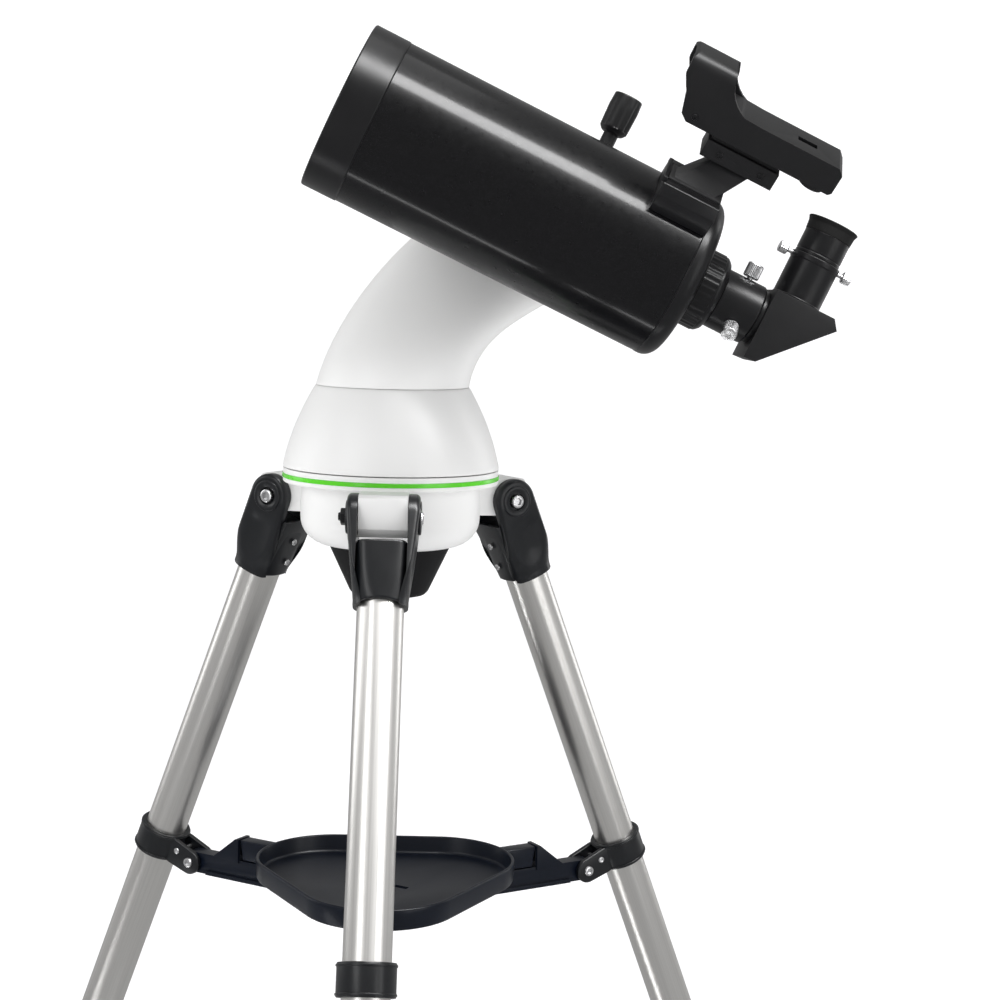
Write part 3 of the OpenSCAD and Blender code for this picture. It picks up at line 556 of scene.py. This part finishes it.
def head_pieces():
    outer = [(bell_radius(z), z) for z in [BELL_FOOT + 58.8 * k / 40 for k in range(41)]]
    inner = [(bell_radius(z) - BELL_WALL, z) for z in [BELL_FLOOR - 49.5 * k / 24 for k in range(25)]]
    outline = [(outer[0][0] - 1.2, BELL_FOOT), (outer[0][0] - 0.4, BELL_FOOT + 0.3)] + outer[1:-1]
    outline += [(outer[-1][0] + 0.15, BELL_TOP - 0.5), (outer[-1][0] - 0.5, BELL_TOP), (42, BELL_TOP),
                (42, BELL_FLOOR)] + inner
    bell = spin(outline + [(inner[-1][0], BELL_FOOT)], 180, loop=True)
    window = plate(soften([(-22, 21), (22, 21), (22, 39), (-22, 39)], 1.5), 50, 90)
    finish_piece("bell", cut(bell, window), HEAD, "head", white_shell, ["bell_housing"], 50)
    finish_piece("arm", arm_piece(), HEAD, "head", white_shell, ["arm_shell"], 60)
    cover = spin(soften([(0, 0), (37, 0), (37, 2.2), (35.5, 3.2), (0, 3.2)], 0.6, closed=False), 128)
    cover.transform(shift(ALT_X, 72.6, ALT_Z) @ ALONG_Y)
    caps, cap_circle = [], 28
    for a in (30, 150, 270):
        x, z = cap_circle * math.cos(math.radians(a)), cap_circle * math.sin(math.radians(a))
        caps.append((socket_screw(3.0, 1.6), shift(ALT_X + x, 75.6, ALT_Z + z) @ ALONG_Y))
    finish_piece("hub_cover", cover, HEAD, "head", white_shell)
    finish_piece("hub_cover_screws", merged(*caps), HEAD, "head", bright_steel)
    panel = from_node("control_board", HEAD, 0.35, 2)
    finish_piece("socket_panel", panel, HEAD, "head", matt_black, ["control_board"])
    rims = []
    for x in (-13, 2):
        rims.append((spin(soften([(3.1, 0), (4.6, 0), (4.6, 1.1), (3.1, 1.1)], 0.3), 40, loop=True),
                     shift(x, 67.4, 30) @ ALONG_Y))
        pin = spin([(0, 0), (0.9, 0), (0.9, 5), (0.6, 5.6), (0, 5.6)], 16)
        rims.append((pin, shift(x, 60.5, 30) @ ALONG_Y))
    finish_piece("socket_rims", merged(*rims), HEAD, "head", bright_steel)


# ---------------------------------------------------------------- tripod legs
BOSS_R = 16.3          # rounded top of a cheek
WEB_TOP = -20
MOUTH_Z = -60
MOUTH_R = 19.3
LEG_TUBE_R = 31.75 / 2
LEG_TUBE_TOP, LEG_TUBE_END = -31, -605


def step(x, low, high):
    """Smooth change from 0 at low to 1 at high."""
    return ease(min(1.0, max(0.0, (x - low) / (high - low))))


def rim_drop(y, z):
    """The rim of the socket's mouth hangs lower at its sides."""
    return -3.2 * min(1.0, abs(y) / MOUTH_R) ** 2 * step(-z, 44, 60)


def round_off(bm):
    """Rounds the lower part of a casting's piece off towards the round rim of the mouth."""
    for v in bm.verts:
        x, y, z = v.co
        t = step(-z, 20, 60)
        if t > 0:
            power = 9 - 6.6 * t
            reach_x, reach_y = 20.4 - 1.1 * t, 24.8 - 6.2 * max(z, MOUTH_Z) / MOUTH_Z
            over = (abs(x / reach_x) ** power + abs(y / reach_y) ** power) ** (1 / power)
            if over > 1:
                v.co.x, v.co.y = x / over, y / over
    return bm


def cheek(side):
    """One side of the fork: domed top, round boss, shallow scoop, and a taper in to the socket's mouth."""
    inner, edge, columns = LUG_HALF + 0.4, 3.4, 30
    levels = [BOSS_R * math.sin(math.radians(a)) for a in range(90, 0, -5)] + [-1.5 * k for k in range(41)]
    bm = bmesh.new()
    rings = []
    for z in levels:
        domed = math.sqrt(max(BOSS_R ** 2 - z * z, 0.3))
        width = domed if z > 0 else BOSS_R + (MOUTH_R - BOSS_R) * z / MOUTH_Z
        face = inner + CHEEK_T - 5.8 * min(z, 0) / MOUTH_Z
        outer = []
        for k in range(columns + 1):
            x = -width * math.cos(math.pi * k / columns)
            to_edge = BOSS_R - math.hypot(x, z) if z > 0 else width - abs(x)
            inside = edge - min(edge, max(to_edge, 0))
            y = face - edge + math.sqrt(max(edge * edge - inside * inside, 0))
            middle = max(0.0, 1 - (x / (0.78 * width)) ** 2) ** 1.5
            y -= 1.9 * middle * step(-z, 13, 24) * (1 - step(-z, 38, 58))
            outer.append((x, y))
        flat = [(x, inner) for x, _ in reversed(outer)]
        rings.append([bm.verts.new((x, y, z + rim_drop(y, z))) for x, y in outer + flat])
    skin(bm, rings)
    seat = spin([(0, 0), (6.4, 0), (6.4, 6), (0, 6)], 48)
    seat.transform(shift(0, inner + CHEEK_T - 2.2, 0) @ ALONG_Y)
    bm = cut(bm, seat)
    boss = spin(soften([(6.5, 0), (11.6, 0), (11.6, 1.9), (9.4, 2.2), (6.5, 1.2)], 0.9), 56, loop=True)
    boss.transform(shift(0, inner + CHEEK_T - 1.2, 0) @ ALONG_Y)
    out = merged(bm, boss)
    if side < 0:
        out.transform(Matrix.Scale(-1, 4, (0, 1, 0)))
    return out


def socket_body():
    """Middle of the casting: a squarish block below the lug that rounds off into the mouth of the socket."""
    bm = bmesh.new()
    rings = []
    levels, sides = 24, 72
    for k in range(levels + 1):
        t = k / levels
        z = WEB_TOP + (MOUTH_Z - WEB_TOP) * t
        half_x, half_y = 19.2 + 0.1 * t, 17.5 + 1.3 * ease(t)
        power = 2 / (5 - 2.9 * t)
        ring = []
        for j in range(sides):
            a = TAU * j / sides
            c, s = math.cos(a), math.sin(a)
            y = half_y * math.copysign(abs(s) ** power, s)
            ring.append(bm.verts.new((half_x * math.copysign(abs(c) ** power, c), y, z + rim_drop(y, z))))
        rings.append(ring)
    skin(bm, rings)
    bore_r = LEG_TUBE_R + 0.2
    bore = [(0, -72), (18.2, -72), (18.2, -63), (bore_r, -56), (bore_r, LEG_TUBE_TOP), (0, LEG_TUBE_TOP)]
    return cut(bevel_sharp(bm, 1.2, 3, 40), spin(bore, 72))


def casting_piece(n):
    web_y = LUG_HALF + 1.5
    back = plate(soften([(-20.3, -13), (-14, -16), (-14, -40), (-20.3, -56)], 1.5), -web_y, web_y, 0.9, 3)
    body = merged(round_off(cheek(1)), round_off(cheek(-1)), socket_body(), round_off(back))
    finish_piece("casting_" + n + "_moulding", body, LEG[n], "leg_" + n, fitting_plastic,
                 ["casting_" + n])
    screws = []
    inward = Matrix.Rotation(math.radians(-90), 4, "Y")
    for z in (-31, -48):
        screws.append((socket_screw(2.5, 1.3, 0.45), shift(-20.5, 0, z) @ inward))
    finish_piece("casting_" + n + "_screws", merged(*screws), LEG[n], "leg_" + n, bright_steel)


def tray_clamp_piece(n):
    r, ear_in, ear_out, pin_in, pin_s = LEG_TUBE_R, 6.4, 10.4, 36.8, 305
    at = LEG[n] @ shift(0, 0, -pin_s)
    band = spin(soften([(r, -11), (r + 3.5, -11), (r + 3.5, 11), (r, 11)], 1.0), 96, loop=True)
    beads = [spin(soften([(r + 3.2, z - 0.8), (r + 4.1, z - 0.8), (r + 4.1, z + 0.8), (r + 3.2, z + 0.8)],
                         0.4), 96, loop=True) for z in (-9, 9)]
    ears = []
    nose = [(-pin_in + 9.5 * math.cos(math.radians(a)), 9.5 * math.sin(math.radians(a)))
            for a in range(95, 266, 10)]
    for side in (-1, 1):
        low, high = sorted((side * ear_in, side * ear_out))
        ears.append(plate([(-6, 9)] + [(-r - 4, 10)] + nose + [(-r - 4, -10.5), (-6, -9)], low, high, 0.9, 3))
    finish_piece("tray_clamp_" + n + "_band", merged(band, *beads, *ears), at, "leg_" + n, fitting_plastic,
                 ["tray_clamp_" + n])
    bolts = []
    for side in (-1, 1):
        turn = ALONG_Y if side > 0 else ALONG_Y.inverted()
        bolts.append((socket_screw(3.9, 2.0, 0.5), shift(-pin_in, side * (ear_out - 0.2), 0) @ turn))
        bolts.append((socket_screw(2.4, 1.2, 0.5), shift(-r - 7.5, side * (ear_out - 0.2), 2.5) @ turn))
    for x, z, radius in ((-pin_in, 0, 2.5), (-r - 7.5, 2.5, 1.6)):
        pin = spin([(0, -10.4), (radius, -10.4), (radius, 10.4), (0, 10.4)], 24)
        bolts.append((pin, shift(x, 0, z) @ ALONG_Y))
    finish_piece("tray_clamp_" + n + "_bolts", merged(*bolts), at, "leg_" + n, bright_steel)


def leg_pieces():
    for n in LEGS:
        leg, r, foot = LEG[n], LEG_TUBE_R, "leg_" + n
        casting_piece(n)
        tray_clamp_piece(n)
        top, end = LEG_TUBE_TOP, LEG_TUBE_END
        wall = soften([(r - 1.2, end), (r, end), (r, top), (r - 1.2, top)], 0.3)
        finish_piece("upper_tube_" + n, spin(wall, 128, loop=True), leg, foot, steel_along[n],
                     ["leg_tube_" + n])
        collar = from_node("lock_collar_" + n, leg, 1.0, 3, 32)
        finish_piece("collar_" + n, collar, leg, foot, fitting_plastic,
                     ["lock_collar_" + n])
        lower = from_node("inner_leg_" + n, leg, 0.0)
        finish_piece("lower_tube_" + n, lower, leg, "lower_" + foot, steel_along[n],
                     ["inner_leg_" + n], 30)
        shoe = from_node("foot_" + n, leg, 0.8, 2)
        finish_piece("rubber_foot_" + n, shoe, leg, "lower_" + foot, foot_rubber,
                     ["foot_" + n])
        knob = from_node("lock_knob_" + n, leg, 1.0, 3, 32)
        finish_piece("lock_grip_" + n, knob, leg, "lock_" + n, knob_plastic,
                     ["lock_knob_" + n])


# ---------------------------------------------------------------- spreader
TRAY_TOP = -291.0
TRAY_DEPTH = 16.0
TRAY_REACH, TRAY_SIDE = 103.0, 81.0    # from the middle to the rounded corners and to the straight sides


def tray_ring(bm, inset, z):
    """Outline of the tray at a height: a triangle with large round corners."""
    offset = 2 * (TRAY_REACH - TRAY_SIDE)
    radius = TRAY_REACH - offset - inset
    ring = []
    for corner in range(3):
        turn = TAU * corner / 3
        for k in range(61):
            a = turn + math.radians(2 * k - 60)
            ring.append(bm.verts.new((offset * math.cos(turn) + radius * math.cos(a),
                                      offset * math.sin(turn) + radius * math.sin(a), TRAY_TOP + z)))
    return ring


def tray_body():
    """Shallow dish with rounded corners, a rounded rim, and a tongue from each corner to its arm."""
    section = [(3.2, -TRAY_DEPTH), (1.4, 0.6 - TRAY_DEPTH), (0.5, 2.4 - TRAY_DEPTH), (0, -3.2), (0, -0.9),
               (0.4, -0.3), (1.0, 0), (1.7, 0), (2.2, -0.3), (2.5, -0.9), (2.7, 5.0 - TRAY_DEPTH),
               (3.4, 3.4 - TRAY_DEPTH), (5.0, 2.5 - TRAY_DEPTH)]
    bm = bmesh.new()
    skin(bm, [tray_ring(bm, inset, z) for inset, z in section])
    slots = []
    for a in (60, 180, 300):
        outline = soften([(9, -2.5), (21, -2.5), (21, 2.5), (9, 2.5)], 1.2)
        slot = plate(outline, TRAY_TOP - 18, TRAY_TOP - 10, plane="xy")
        slots.append((slot, Matrix.Rotation(math.radians(a), 4, "Z")))
    bm = cut(bm, merged(*slots), spin([(0, -310), (3, -310), (3, -300), (0, -300)], 32))
    tongues = [(plate([(101, -TRAY_DEPTH), (125.6, -TRAY_DEPTH), (128.1, -0.4), (101, -0.4)], -6, 6, 0.9, 3),
                Matrix.Rotation(math.radians(a), 4, "Z") @ shift(0, 0, TRAY_TOP)) for a in (0, 120, 240)]
    return merged(bm, *tongues)


def spreader_pieces():
    finish_piece("accessory_tray", tray_body(), SPOKE["front"], "spreader", tray_plastic,
                 ["tray"])
    hub = from_node("spreader_hub", SPOKE["front"], 0.7, 2)
    finish_piece("hub_under_tray", hub, SPOKE["front"], "spreader", matt_black,
                 ["spreader_hub"])
    for n in LEGS:
        arm = from_node("tray_arm_" + n, SPOKE[n], 0.8, 3)
        finish_piece("spreader_arm_" + n, arm, SPOKE[n], "arm_" + n, tray_plastic,
                     ["tray_arm_" + n])


# ---------------------------------------------------------------- altitude axis
BAR_BACK = 71.0    # tube's axis to the back of the dovetail bar


def cradle_pieces():
    saddle = from_node("saddle", TUBE, 1.0, 3, 32)
    finish_piece("saddle_clamp", saddle, TUBE, "cradle", anodised, ["saddle"])
    knob_at = TUBE @ shift(ALT_U + 7.5, BAR_BACK - 3.5, 23.8)
    grip = spin(soften([(0, 50), (7.5, 50), (10.6, 53.6), (11.2, 70), (10.4, 78.6), (8.0, 78.6), (7.6, 77.6),
                        (0, 77.6)], 1.6, closed=False), 128, fluted(8, 0.10, 54, 77.4))
    stem = spin(soften([(0, 0), (4, 0), (4, 10.4), (6.2, 10.4), (6.2, 14), (5.4, 15), (5.4, 51), (0, 51)],
                       0.5, closed=False), 64)
    finish_piece("clamp_knob_grip", merged(grip, stem), knob_at, "clamp_knob", knob_plastic,
                 ["saddle_knob"])


# ---------------------------------------------------------------- optical tube
TUBE_R = 57.5
TUBE_IN = TUBE_R - 1.3         # inside of the tube's wall
RING_LEN = 26                  # front ring
CELL_START = 251
CELL_END = 264.0
CELL_ROUND = 10                # round edge of the rear cell
BACK_START = CELL_END + 20.2
BACK_END = BACK_START + 29.8
BARREL_R = 31.7 / 2


def along_tube(profile, segments=160, shape=None, loop=False):
    """Body turned about the tube's axis, from (radius, distance from the front) points."""
    bm = spin(profile, segments, shape, loop)
    bm.transform(ALONG_X)
    return bm


def tube_pieces():
    shell = [(TUBE_IN, RING_LEN), (TUBE_R, RING_LEN), (TUBE_R, CELL_START), (TUBE_IN, CELL_START)]
    finish_piece("tube", along_tube(shell, 200, loop=True), TUBE, "tube", tube_paint,
                 ["tube_shell"])
    front = soften([(53.8, 0), (57.2, 0), (58, 0.9), (58, RING_LEN - 0.8), (57.2, RING_LEN),
                    (TUBE_IN, RING_LEN), (TUBE_IN, 35), (53, 35), (53, 24.5), (51.5, 24.5), (51.5, 21),
                    (53, 16), (53, 0.8)], 0.5)
    threads = [along_tube([(52.4, u), (53.1, u - 0.5), (53.1, u + 0.5)], 160, loop=True)
               for u in (3, 4.6, 6.2, 7.8, 9.4)]
    finish_piece("front_cell", merged(along_tube(front, 200, loop=True), *threads), TUBE, "tube", satin_ring,
                 ["front_ring"])
    lens = from_node("corrector_lens", TUBE, 0)
    finish_piece("meniscus", lens, TUBE, "tube", lens_glass, ["corrector_lens"])
    spot = along_tube([(0, 33.2), (14, 32.5), (15, 32.9), (15, 33.6), (0, 34.0)], 72)
    finish_piece("mirror_spot", spot, TUBE, "tube", mirror_coat)


def rear_cell_piece():
    arc = [(57.8 - CELL_ROUND + CELL_ROUND * math.cos(math.radians(a)),
            CELL_END - CELL_ROUND + CELL_ROUND * math.sin(math.radians(a))) for a in range(0, 91, 6)]
    cell = [(52.5, 242), (TUBE_IN, 242), (TUBE_IN, CELL_START + 0.2), (57.4, CELL_START + 0.2),
            (57.8, CELL_START + 0.7)] + arc
    cell += [(31, CELL_END), (30.4, CELL_END - 0.6), (29.4, CELL_END - 0.6), (28.8, CELL_END)]
    cell += soften([(27.2, CELL_END), (27.2, CELL_END + 17), (24.4, BACK_START), (18.2, BACK_START)], 1.0,
                   closed=False)
    cell += [(18.2, 254), (52.5, 254)]
    ribs = along_tube([(27.0, CELL_END + 3.4), (27.5, CELL_END + 3.8), (27.5, CELL_END + 15),
                       (27.0, CELL_END + 15.4)],
                      144, lambda a, r, z: r + (0.28 * math.cos(36 * a) if r > 27.2 else 0), loop=True)
    finish_piece("rear_cell_cover", merged(along_tube(cell, 200, loop=True), ribs), TUBE, "tube", satin_ring,
                 ["rear_cell"])


def visual_back_pieces():
    back = soften([(BARREL_R + 0.1, BACK_START), (20, BACK_START), (21, BACK_START + 1), (21, BACK_END - 1),
                   (20, BACK_END), (BARREL_R + 0.1, BACK_END)], 0.6)
    finish_piece("visual_back_sleeve", along_tube(back, 128, loop=True), TUBE, "tube", anodised,
                 ["visual_back"])
    screws = []
    for clock in (0, 130):
        head = soften([(0, 6.0), (5.0, 6.0), (5.6, 6.8), (5.6, 15.4), (5.0, 16.2), (1.6, 16.2), (1.2, 15.8),
                       (0, 15.8)], 0.3, closed=False)
        screw = merged(spin(head, 112, fluted(28, 0.07, 6.9, 15.3)),
                       spin([(0, 0), (2, 0), (2, 6.4), (0, 6.4)], 24))
        screws.append((screw, turn_x(clock) @ shift(BACK_START + 16.5, 0, BARREL_R + 0.2)))
    finish_piece("back_screws", merged(*screws), TUBE, "tube", bright_steel,
                 ["back_thumbscrews"])


def rail_pieces():
    """Dovetail bar, and the shoe that the finder slides into."""
    bar = from_node("dovetail_bar", TUBE, 0.7, 2, 34)
    finish_piece("dovetail", bar, TUBE, "tube", anodised, ["dovetail_bar"])
    shoe = from_node("finder_shoe", SHOE, 0.7, 3, 32)
    lip = plate(soften([(-12, 72.6), (12, 72.6), (11, 76.4), (-11, 76.4)], 0.6), 209.6, 212.4, 0.4, 2, "yz")
    finish_piece("shoe", merged(shoe, lip), SHOE, "tube", anodised, ["finder_shoe"])


def focus_piece():
    flutes = fluted(24, 0.06, CELL_END + 2, CELL_END + 22)
    grip = spin(soften([(0, CELL_END + 1), (10.4, CELL_END + 1), (11, CELL_END + 2), (11, CELL_END + 23),
                        (9.6, CELL_END + 25), (6.5, CELL_END + 25), (6, CELL_END + 24.2),
                        (0, CELL_END + 24.2)], 0.6, closed=False), 144, flutes)
    stem = spin([(0, 249), (3, 249), (3, CELL_END + 2), (0, CELL_END + 2)], 32)
    finish_piece("focus_grip", merged(grip, stem), TUBE @ shift(0, 35, 19) @ ALONG_X, "focuser", knob_plastic,
                 ["focus_knob"])


# ---------------------------------------------------------------- finder
FINDER_FLOOR, FINDER_TOP, FINDER_HALF = 107.6, 127.0, 16.0
PANE_U, PANE_UP = 204, 138     # middle of the finder's pane


def finder_pieces():
    body = from_node("finder_body", FINDER, 1.6, 4, 24)
    finish_piece("finder_housing", body, FINDER, "finder", finder_plastic,
                 ["finder_body"], 40)
    bracket = from_node("finder_bracket", FINDER, 0.6, 2)
    finish_piece("finder_stalk", bracket, FINDER, "finder", finder_plastic,
                 ["finder_bracket"])
    outline = soften([(-12.2, 129.4), (12.2, 129.4), (12.2, 147.2), (-12.2, 147.2)], 5, 5)
    pane = plate(outline, 203.6, 205.2, 0.2, 2, "yz")
    pane.transform(shift(PANE_U, 0, PANE_UP) @ Matrix.Rotation(math.radians(-8), 4, "Y")
                   @ shift(-PANE_U, 0, -PANE_UP))
    finish_piece("finder_pane", pane, FINDER, "finder", lens_glass)
    lamp = spin(soften([(0, 0), (3.2, 0), (3.2, 3.6), (2.0, 4.6), (0, 5)], 0.6, closed=False), 32)
    lamp.transform(shift(227, 0, FINDER_TOP - 1) @ Matrix.Rotation(math.radians(-60), 4, "Y"))
    finish_piece("finder_lamp", lamp, FINDER, "finder", barrel_chrome)
    heads = [(socket_screw(2.2, 0.9, 0.5), shift(209, -FINDER_HALF + 0.1, 113) @ ALONG_Y.inverted())]
    for u in (236, 266):
        heads.append((socket_screw(2.3, 0.8, 0.5), shift(u, -13 + 0.3, 96.5) @ ALONG_Y.inverted()))
    finish_piece("finder_screws", merged(*heads), FINDER, "finder", anodised)
    wheel = spin(soften([(0, 0), (8.4, 0), (9, 0.8), (9, 4.4), (8.4, 5.2), (0, 5.2)], 0.4, closed=False), 120,
                 fluted(30, 0.05, 0.9, 4.3))
    post = spin([(0, 5), (2, 5), (2, 8.2), (0, 8.2)], 24)
    finish_piece("dimmer_wheel", merged(wheel, post), FINDER @ shift(299, 0, FINDER_FLOOR - 5.4), "dimmer",
                 knob_plastic, ["finder_knob"])


# ---------------------------------------------------------------- diagonal and eyepiece
PRISM_U = BACK_END + 3.4
OCULAR_U = PRISM_U + 18.8
OCULAR = TUBE @ shift(OCULAR_U, 0, 0)    # frame of the eyepiece
HOLDER_TOP = 53.0
HOUSING_TOP = 21.5


def diagonal_pieces():
    housing = from_node("diagonal_body", TUBE, 1.0, 3, 20)
    finish_piece("prism_housing", housing, TUBE, "diagonal", diagonal_plastic,
                 ["diagonal_body"])
    barrel = [(14.2, BACK_START + 3), (BARREL_R, BACK_START + 3), (BARREL_R, PRISM_U), (14.2, PRISM_U)]
    finish_piece("nose_barrel", along_tube(soften(barrel, 0.4), 112, loop=True), TUBE, "diagonal",
                 barrel_chrome, ["diagonal_barrel"])
    flange = [(BARREL_R + 0.05, BACK_END + 0.2), (19, BACK_END + 0.2), (19, PRISM_U),
              (BARREL_R + 0.05, PRISM_U)]
    finish_piece("nose_flange", along_tube(soften(flange, 0.4), 112, loop=True), TUBE, "diagonal", anodised)


def holder_pieces():
    holder = soften([(BARREL_R + 0.05, HOUSING_TOP - 0.5), (17.6, HOUSING_TOP - 0.5),
                     (17.6, HOUSING_TOP + 1.2), (17.2, HOUSING_TOP + 1.6), (17.2, HOLDER_TOP - 4.4),
                     (17.8, HOLDER_TOP - 3.8), (17.8, HOLDER_TOP - 0.5), (17.3, HOLDER_TOP),
                     (BARREL_R + 0.05, HOLDER_TOP)], 0.35)
    finish_piece("holder_sleeve", spin(holder, 128, loop=True), OCULAR, "diagonal", anodised,
                 ["eyepiece_holder"])
    screws = []
    for side in (1, -1):
        head = soften([(0, 5.2), (3.5, 5.2), (4, 5.8), (4, 11.0), (3.4, 11.6), (0, 11.6)], 0.3, closed=False)
        screw = merged(spin(head, 96, fluted(20, 0.08, 5.9, 10.9)),
                       spin([(0, 0), (1.5, 0), (1.5, 5.6), (0, 5.6)], 20))
        screws.append((screw, Matrix.Rotation(math.radians(90 * side), 4, "Y") @ shift(0, 0, BARREL_R + 0.2)))
    bm = merged(*screws)
    bm.transform(shift(0, 0, HOLDER_TOP - 2.2))
    finish_piece("holder_screws", bm, OCULAR, "diagonal", bright_steel,
                 ["holder_thumbscrews"])


def eyepiece_pieces():
    top = HOLDER_TOP
    body = [(13.6, 27), (BARREL_R, 27), (BARREL_R, top + 0.15), (16.2, top + 0.3), (16.2, top + 2.2),
            (15.9, top + 2.5), (15.9, top + 3.1), (16.2, top + 3.4), (16.2, top + 17), (10, top + 17),
            (10, top + 5), (13.6, top - 3)]
    finish_piece("eyepiece_body", spin(soften(body, 0.3), 128, loop=True), OCULAR, "ocular", anodised,
                 ["eyepiece"])
    lens = spin([(0, top + 9.4), (5, top + 9.0), (9.9, top + 7.6), (9.9, top + 6.4), (0, top + 6.0)], 64)
    finish_piece("eye_lens", lens, OCULAR, "ocular", lens_glass)
    cup = soften([(11, top + 17), (16.4, top + 17), (16.7, top + 20), (17.0, top + 23.4), (18.2, 79.2),
                  (17.4, 79.8), (15.2, top + 21), (11, top + 19.5)], 0.5)
    finish_piece("rubber_cup", spin(cup, 128, loop=True), OCULAR, "ocular", foot_rubber,
                 ["eyecup"])


# ---------------------------------------------------------------- inner pieces that stay as they are
def inner_pieces():
    finishes = {"azimuth_spindle": bright_steel, "altitude_shaft": bright_steel, "drive_motors": bright_steel,
                "secondary_baffle": matt_black, "baffle_tube": matt_black, "primary_mirror": mirror_coat,
                "diagonal_prism": lens_glass}
    for node, material in finishes.items():
        mesh = frame["nodes"][node].data
        mesh.materials.clear()
        mesh.materials.append(material)


# ---------------------------------------------------------------- studio
PALE = 0.42            # brightness of the world and glow of the sweep


def studio():
    """Round pale sweep: a floor that curves up into a low wall on every side."""
    floor_r, bend, wall, sides = 5.0, 2.2, 3.2, 96
    arc = [(floor_r - bend + bend * math.sin(math.radians(a)), bend - bend * math.cos(math.radians(a)))
           for a in range(0, 91, 5)]
    profile = [(0, 0), (1, 0), (floor_r - bend - 0.2, 0)] + arc + [(floor_r, wall)]
    sweep = bmesh.new()
    rings = [[sweep.verts.new((r * math.cos(TAU * k / sides), r * math.sin(TAU * k / sides), z))
              for k in range(sides if r else 1)] for r, z in profile]
    skin(sweep, rings, cap=False)
    mesh = bpy.data.meshes.new("studio_sweep")
    sweep.to_mesh(mesh)
    sweep.free()
    pale = new_material("pale_floor", (0.86, 0.86, 0.87), 0.75, Specular_IOR_Level=0.1,
                        Emission_Strength=PALE)
    pale.node_tree.nodes["Principled BSDF"].inputs["Emission Color"].default_value = (1, 1, 1, 1)
    vary_color(pale, noise_field(pale, 2.0, 2), (0.855, 0.855, 0.865), (0.865, 0.865, 0.875))
    mesh.materials.append(pale)
    mesh.polygons.foreach_set("use_smooth", [True] * len(mesh.polygons))
    ob = linked("studio_sweep", mesh)
    ob.visible_glossy = False      # the dark parts mirror the lights and not the pale walls


def area_light(name, place, target, size, size_y, power, along=(1, 0, 0)):
    """Soft box that faces its target, with its first side as near to a direction as it can be."""
    data = bpy.data.lights.new(name, "AREA")
    data.energy = power
    data.shape = "RECTANGLE"
    data.size = size
    data.size_y = size_y
    ob = bpy.data.objects.new(name, data)
    z = (Vector(place) - Vector(target)).normalized()
    x = Vector(along)
    x = (x - z * x.dot(z)).normalized()
    ob.matrix_world = Matrix((x, z.cross(x), z)).transposed().to_4x4()
    ob.location = place
    bpy.context.scene.collection.objects.link(ob)
    return ob


def lights():
    world = bpy.data.worlds.new("studio_world")
    bpy.context.scene.world = world
    world.use_nodes = True
    world.node_tree.nodes["Background"].inputs["Color"].default_value = (1, 1, 1, 1)
    world.node_tree.nodes["Background"].inputs["Strength"].default_value = PALE
    middle = (0, 0, 0.6)
    tube_middle = Vector((0, 0, 0.87))
    area_light("key", (-1.9, -1.7, 1.9), middle, 0.8, 1.6, 13)
    area_light("fill", (2.4, -1.6, 1.0), middle, 0.5, 2.0, 8)
    area_light("top", (0.3, 0.2, 3.0), middle, 1.4, 1.4, 10)
    area_light("rim_left", (-2.4, 0.6, 1.2), middle, 0.5, 2.2, 9)
    area_light("rim_right", (2.3, 1.2, 1.2), middle, 0.5, 2.2, 9)
    # strips that only show as reflections: along the tube's upper and lower sides, and along the legs
    for name, lift, wide, power in (("strip_high", 63, 0.62, 150), ("strip_low", -84, 0.10, 9)):
        up = math.radians(lift)
        toward = Vector((0, -1, 0)) * math.cos(up) + TUBE_UP * math.sin(up)
        strip = area_light(name, tube_middle + toward * 2.2, tube_middle, 2.4, wide, power, TUBE_AXIS)
        strip.visible_diffuse = False
    for name, x, power in (("strip_left", -1.5, 6), ("strip_right", 1.7, 7)):
        strip = area_light(name, (x, -2.2, 0.5), (0, 0, 0.4), 0.26, 2.0, power)
        strip.visible_diffuse = False


def camera():
    """Eye of the picture, measured from the ring's centre."""
    eye = Vector((-31.87, -1393.70, 136.7)) * MM
    pan, pitch, roll = 0.07986, 0.1095, -0.0243
    ahead = Vector((math.sin(pan) * math.cos(pitch), math.cos(pan) * math.cos(pitch), -math.sin(pitch)))
    right = Vector((math.cos(pan), -math.sin(pan), 0))
    down = ahead.cross(right)
    x = right * math.cos(roll) + down * math.sin(roll)
    y = right * math.sin(roll) - down * math.cos(roll)
    m = Matrix((x, y, -ahead)).transposed().to_4x4()
    m.translation = joint_point("azimuth_turn") + eye
    data = bpy.data.cameras.new("camera")
    data.lens = 69.47
    data.sensor_width = 36
    data.clip_start = 0.02
    ob = bpy.data.objects.new("camera", data)
    ob.matrix_world = m
    bpy.context.scene.collection.objects.link(ob)
    bpy.context.scene.camera = ob


base_pieces()
hinge_pieces()
head_pieces()
leg_pieces()
spreader_pieces()
cradle_pieces()
tube_pieces()
rear_cell_piece()
visual_back_pieces()
rail_pieces()
focus_piece()
finder_pieces()
diagonal_pieces()
holder_pieces()
eyepiece_pieces()
inner_pieces()
studio()
lights()
camera()
bpy.context.scene.view_settings.view_transform = "Standard"
bpy.context.view_layer.update()
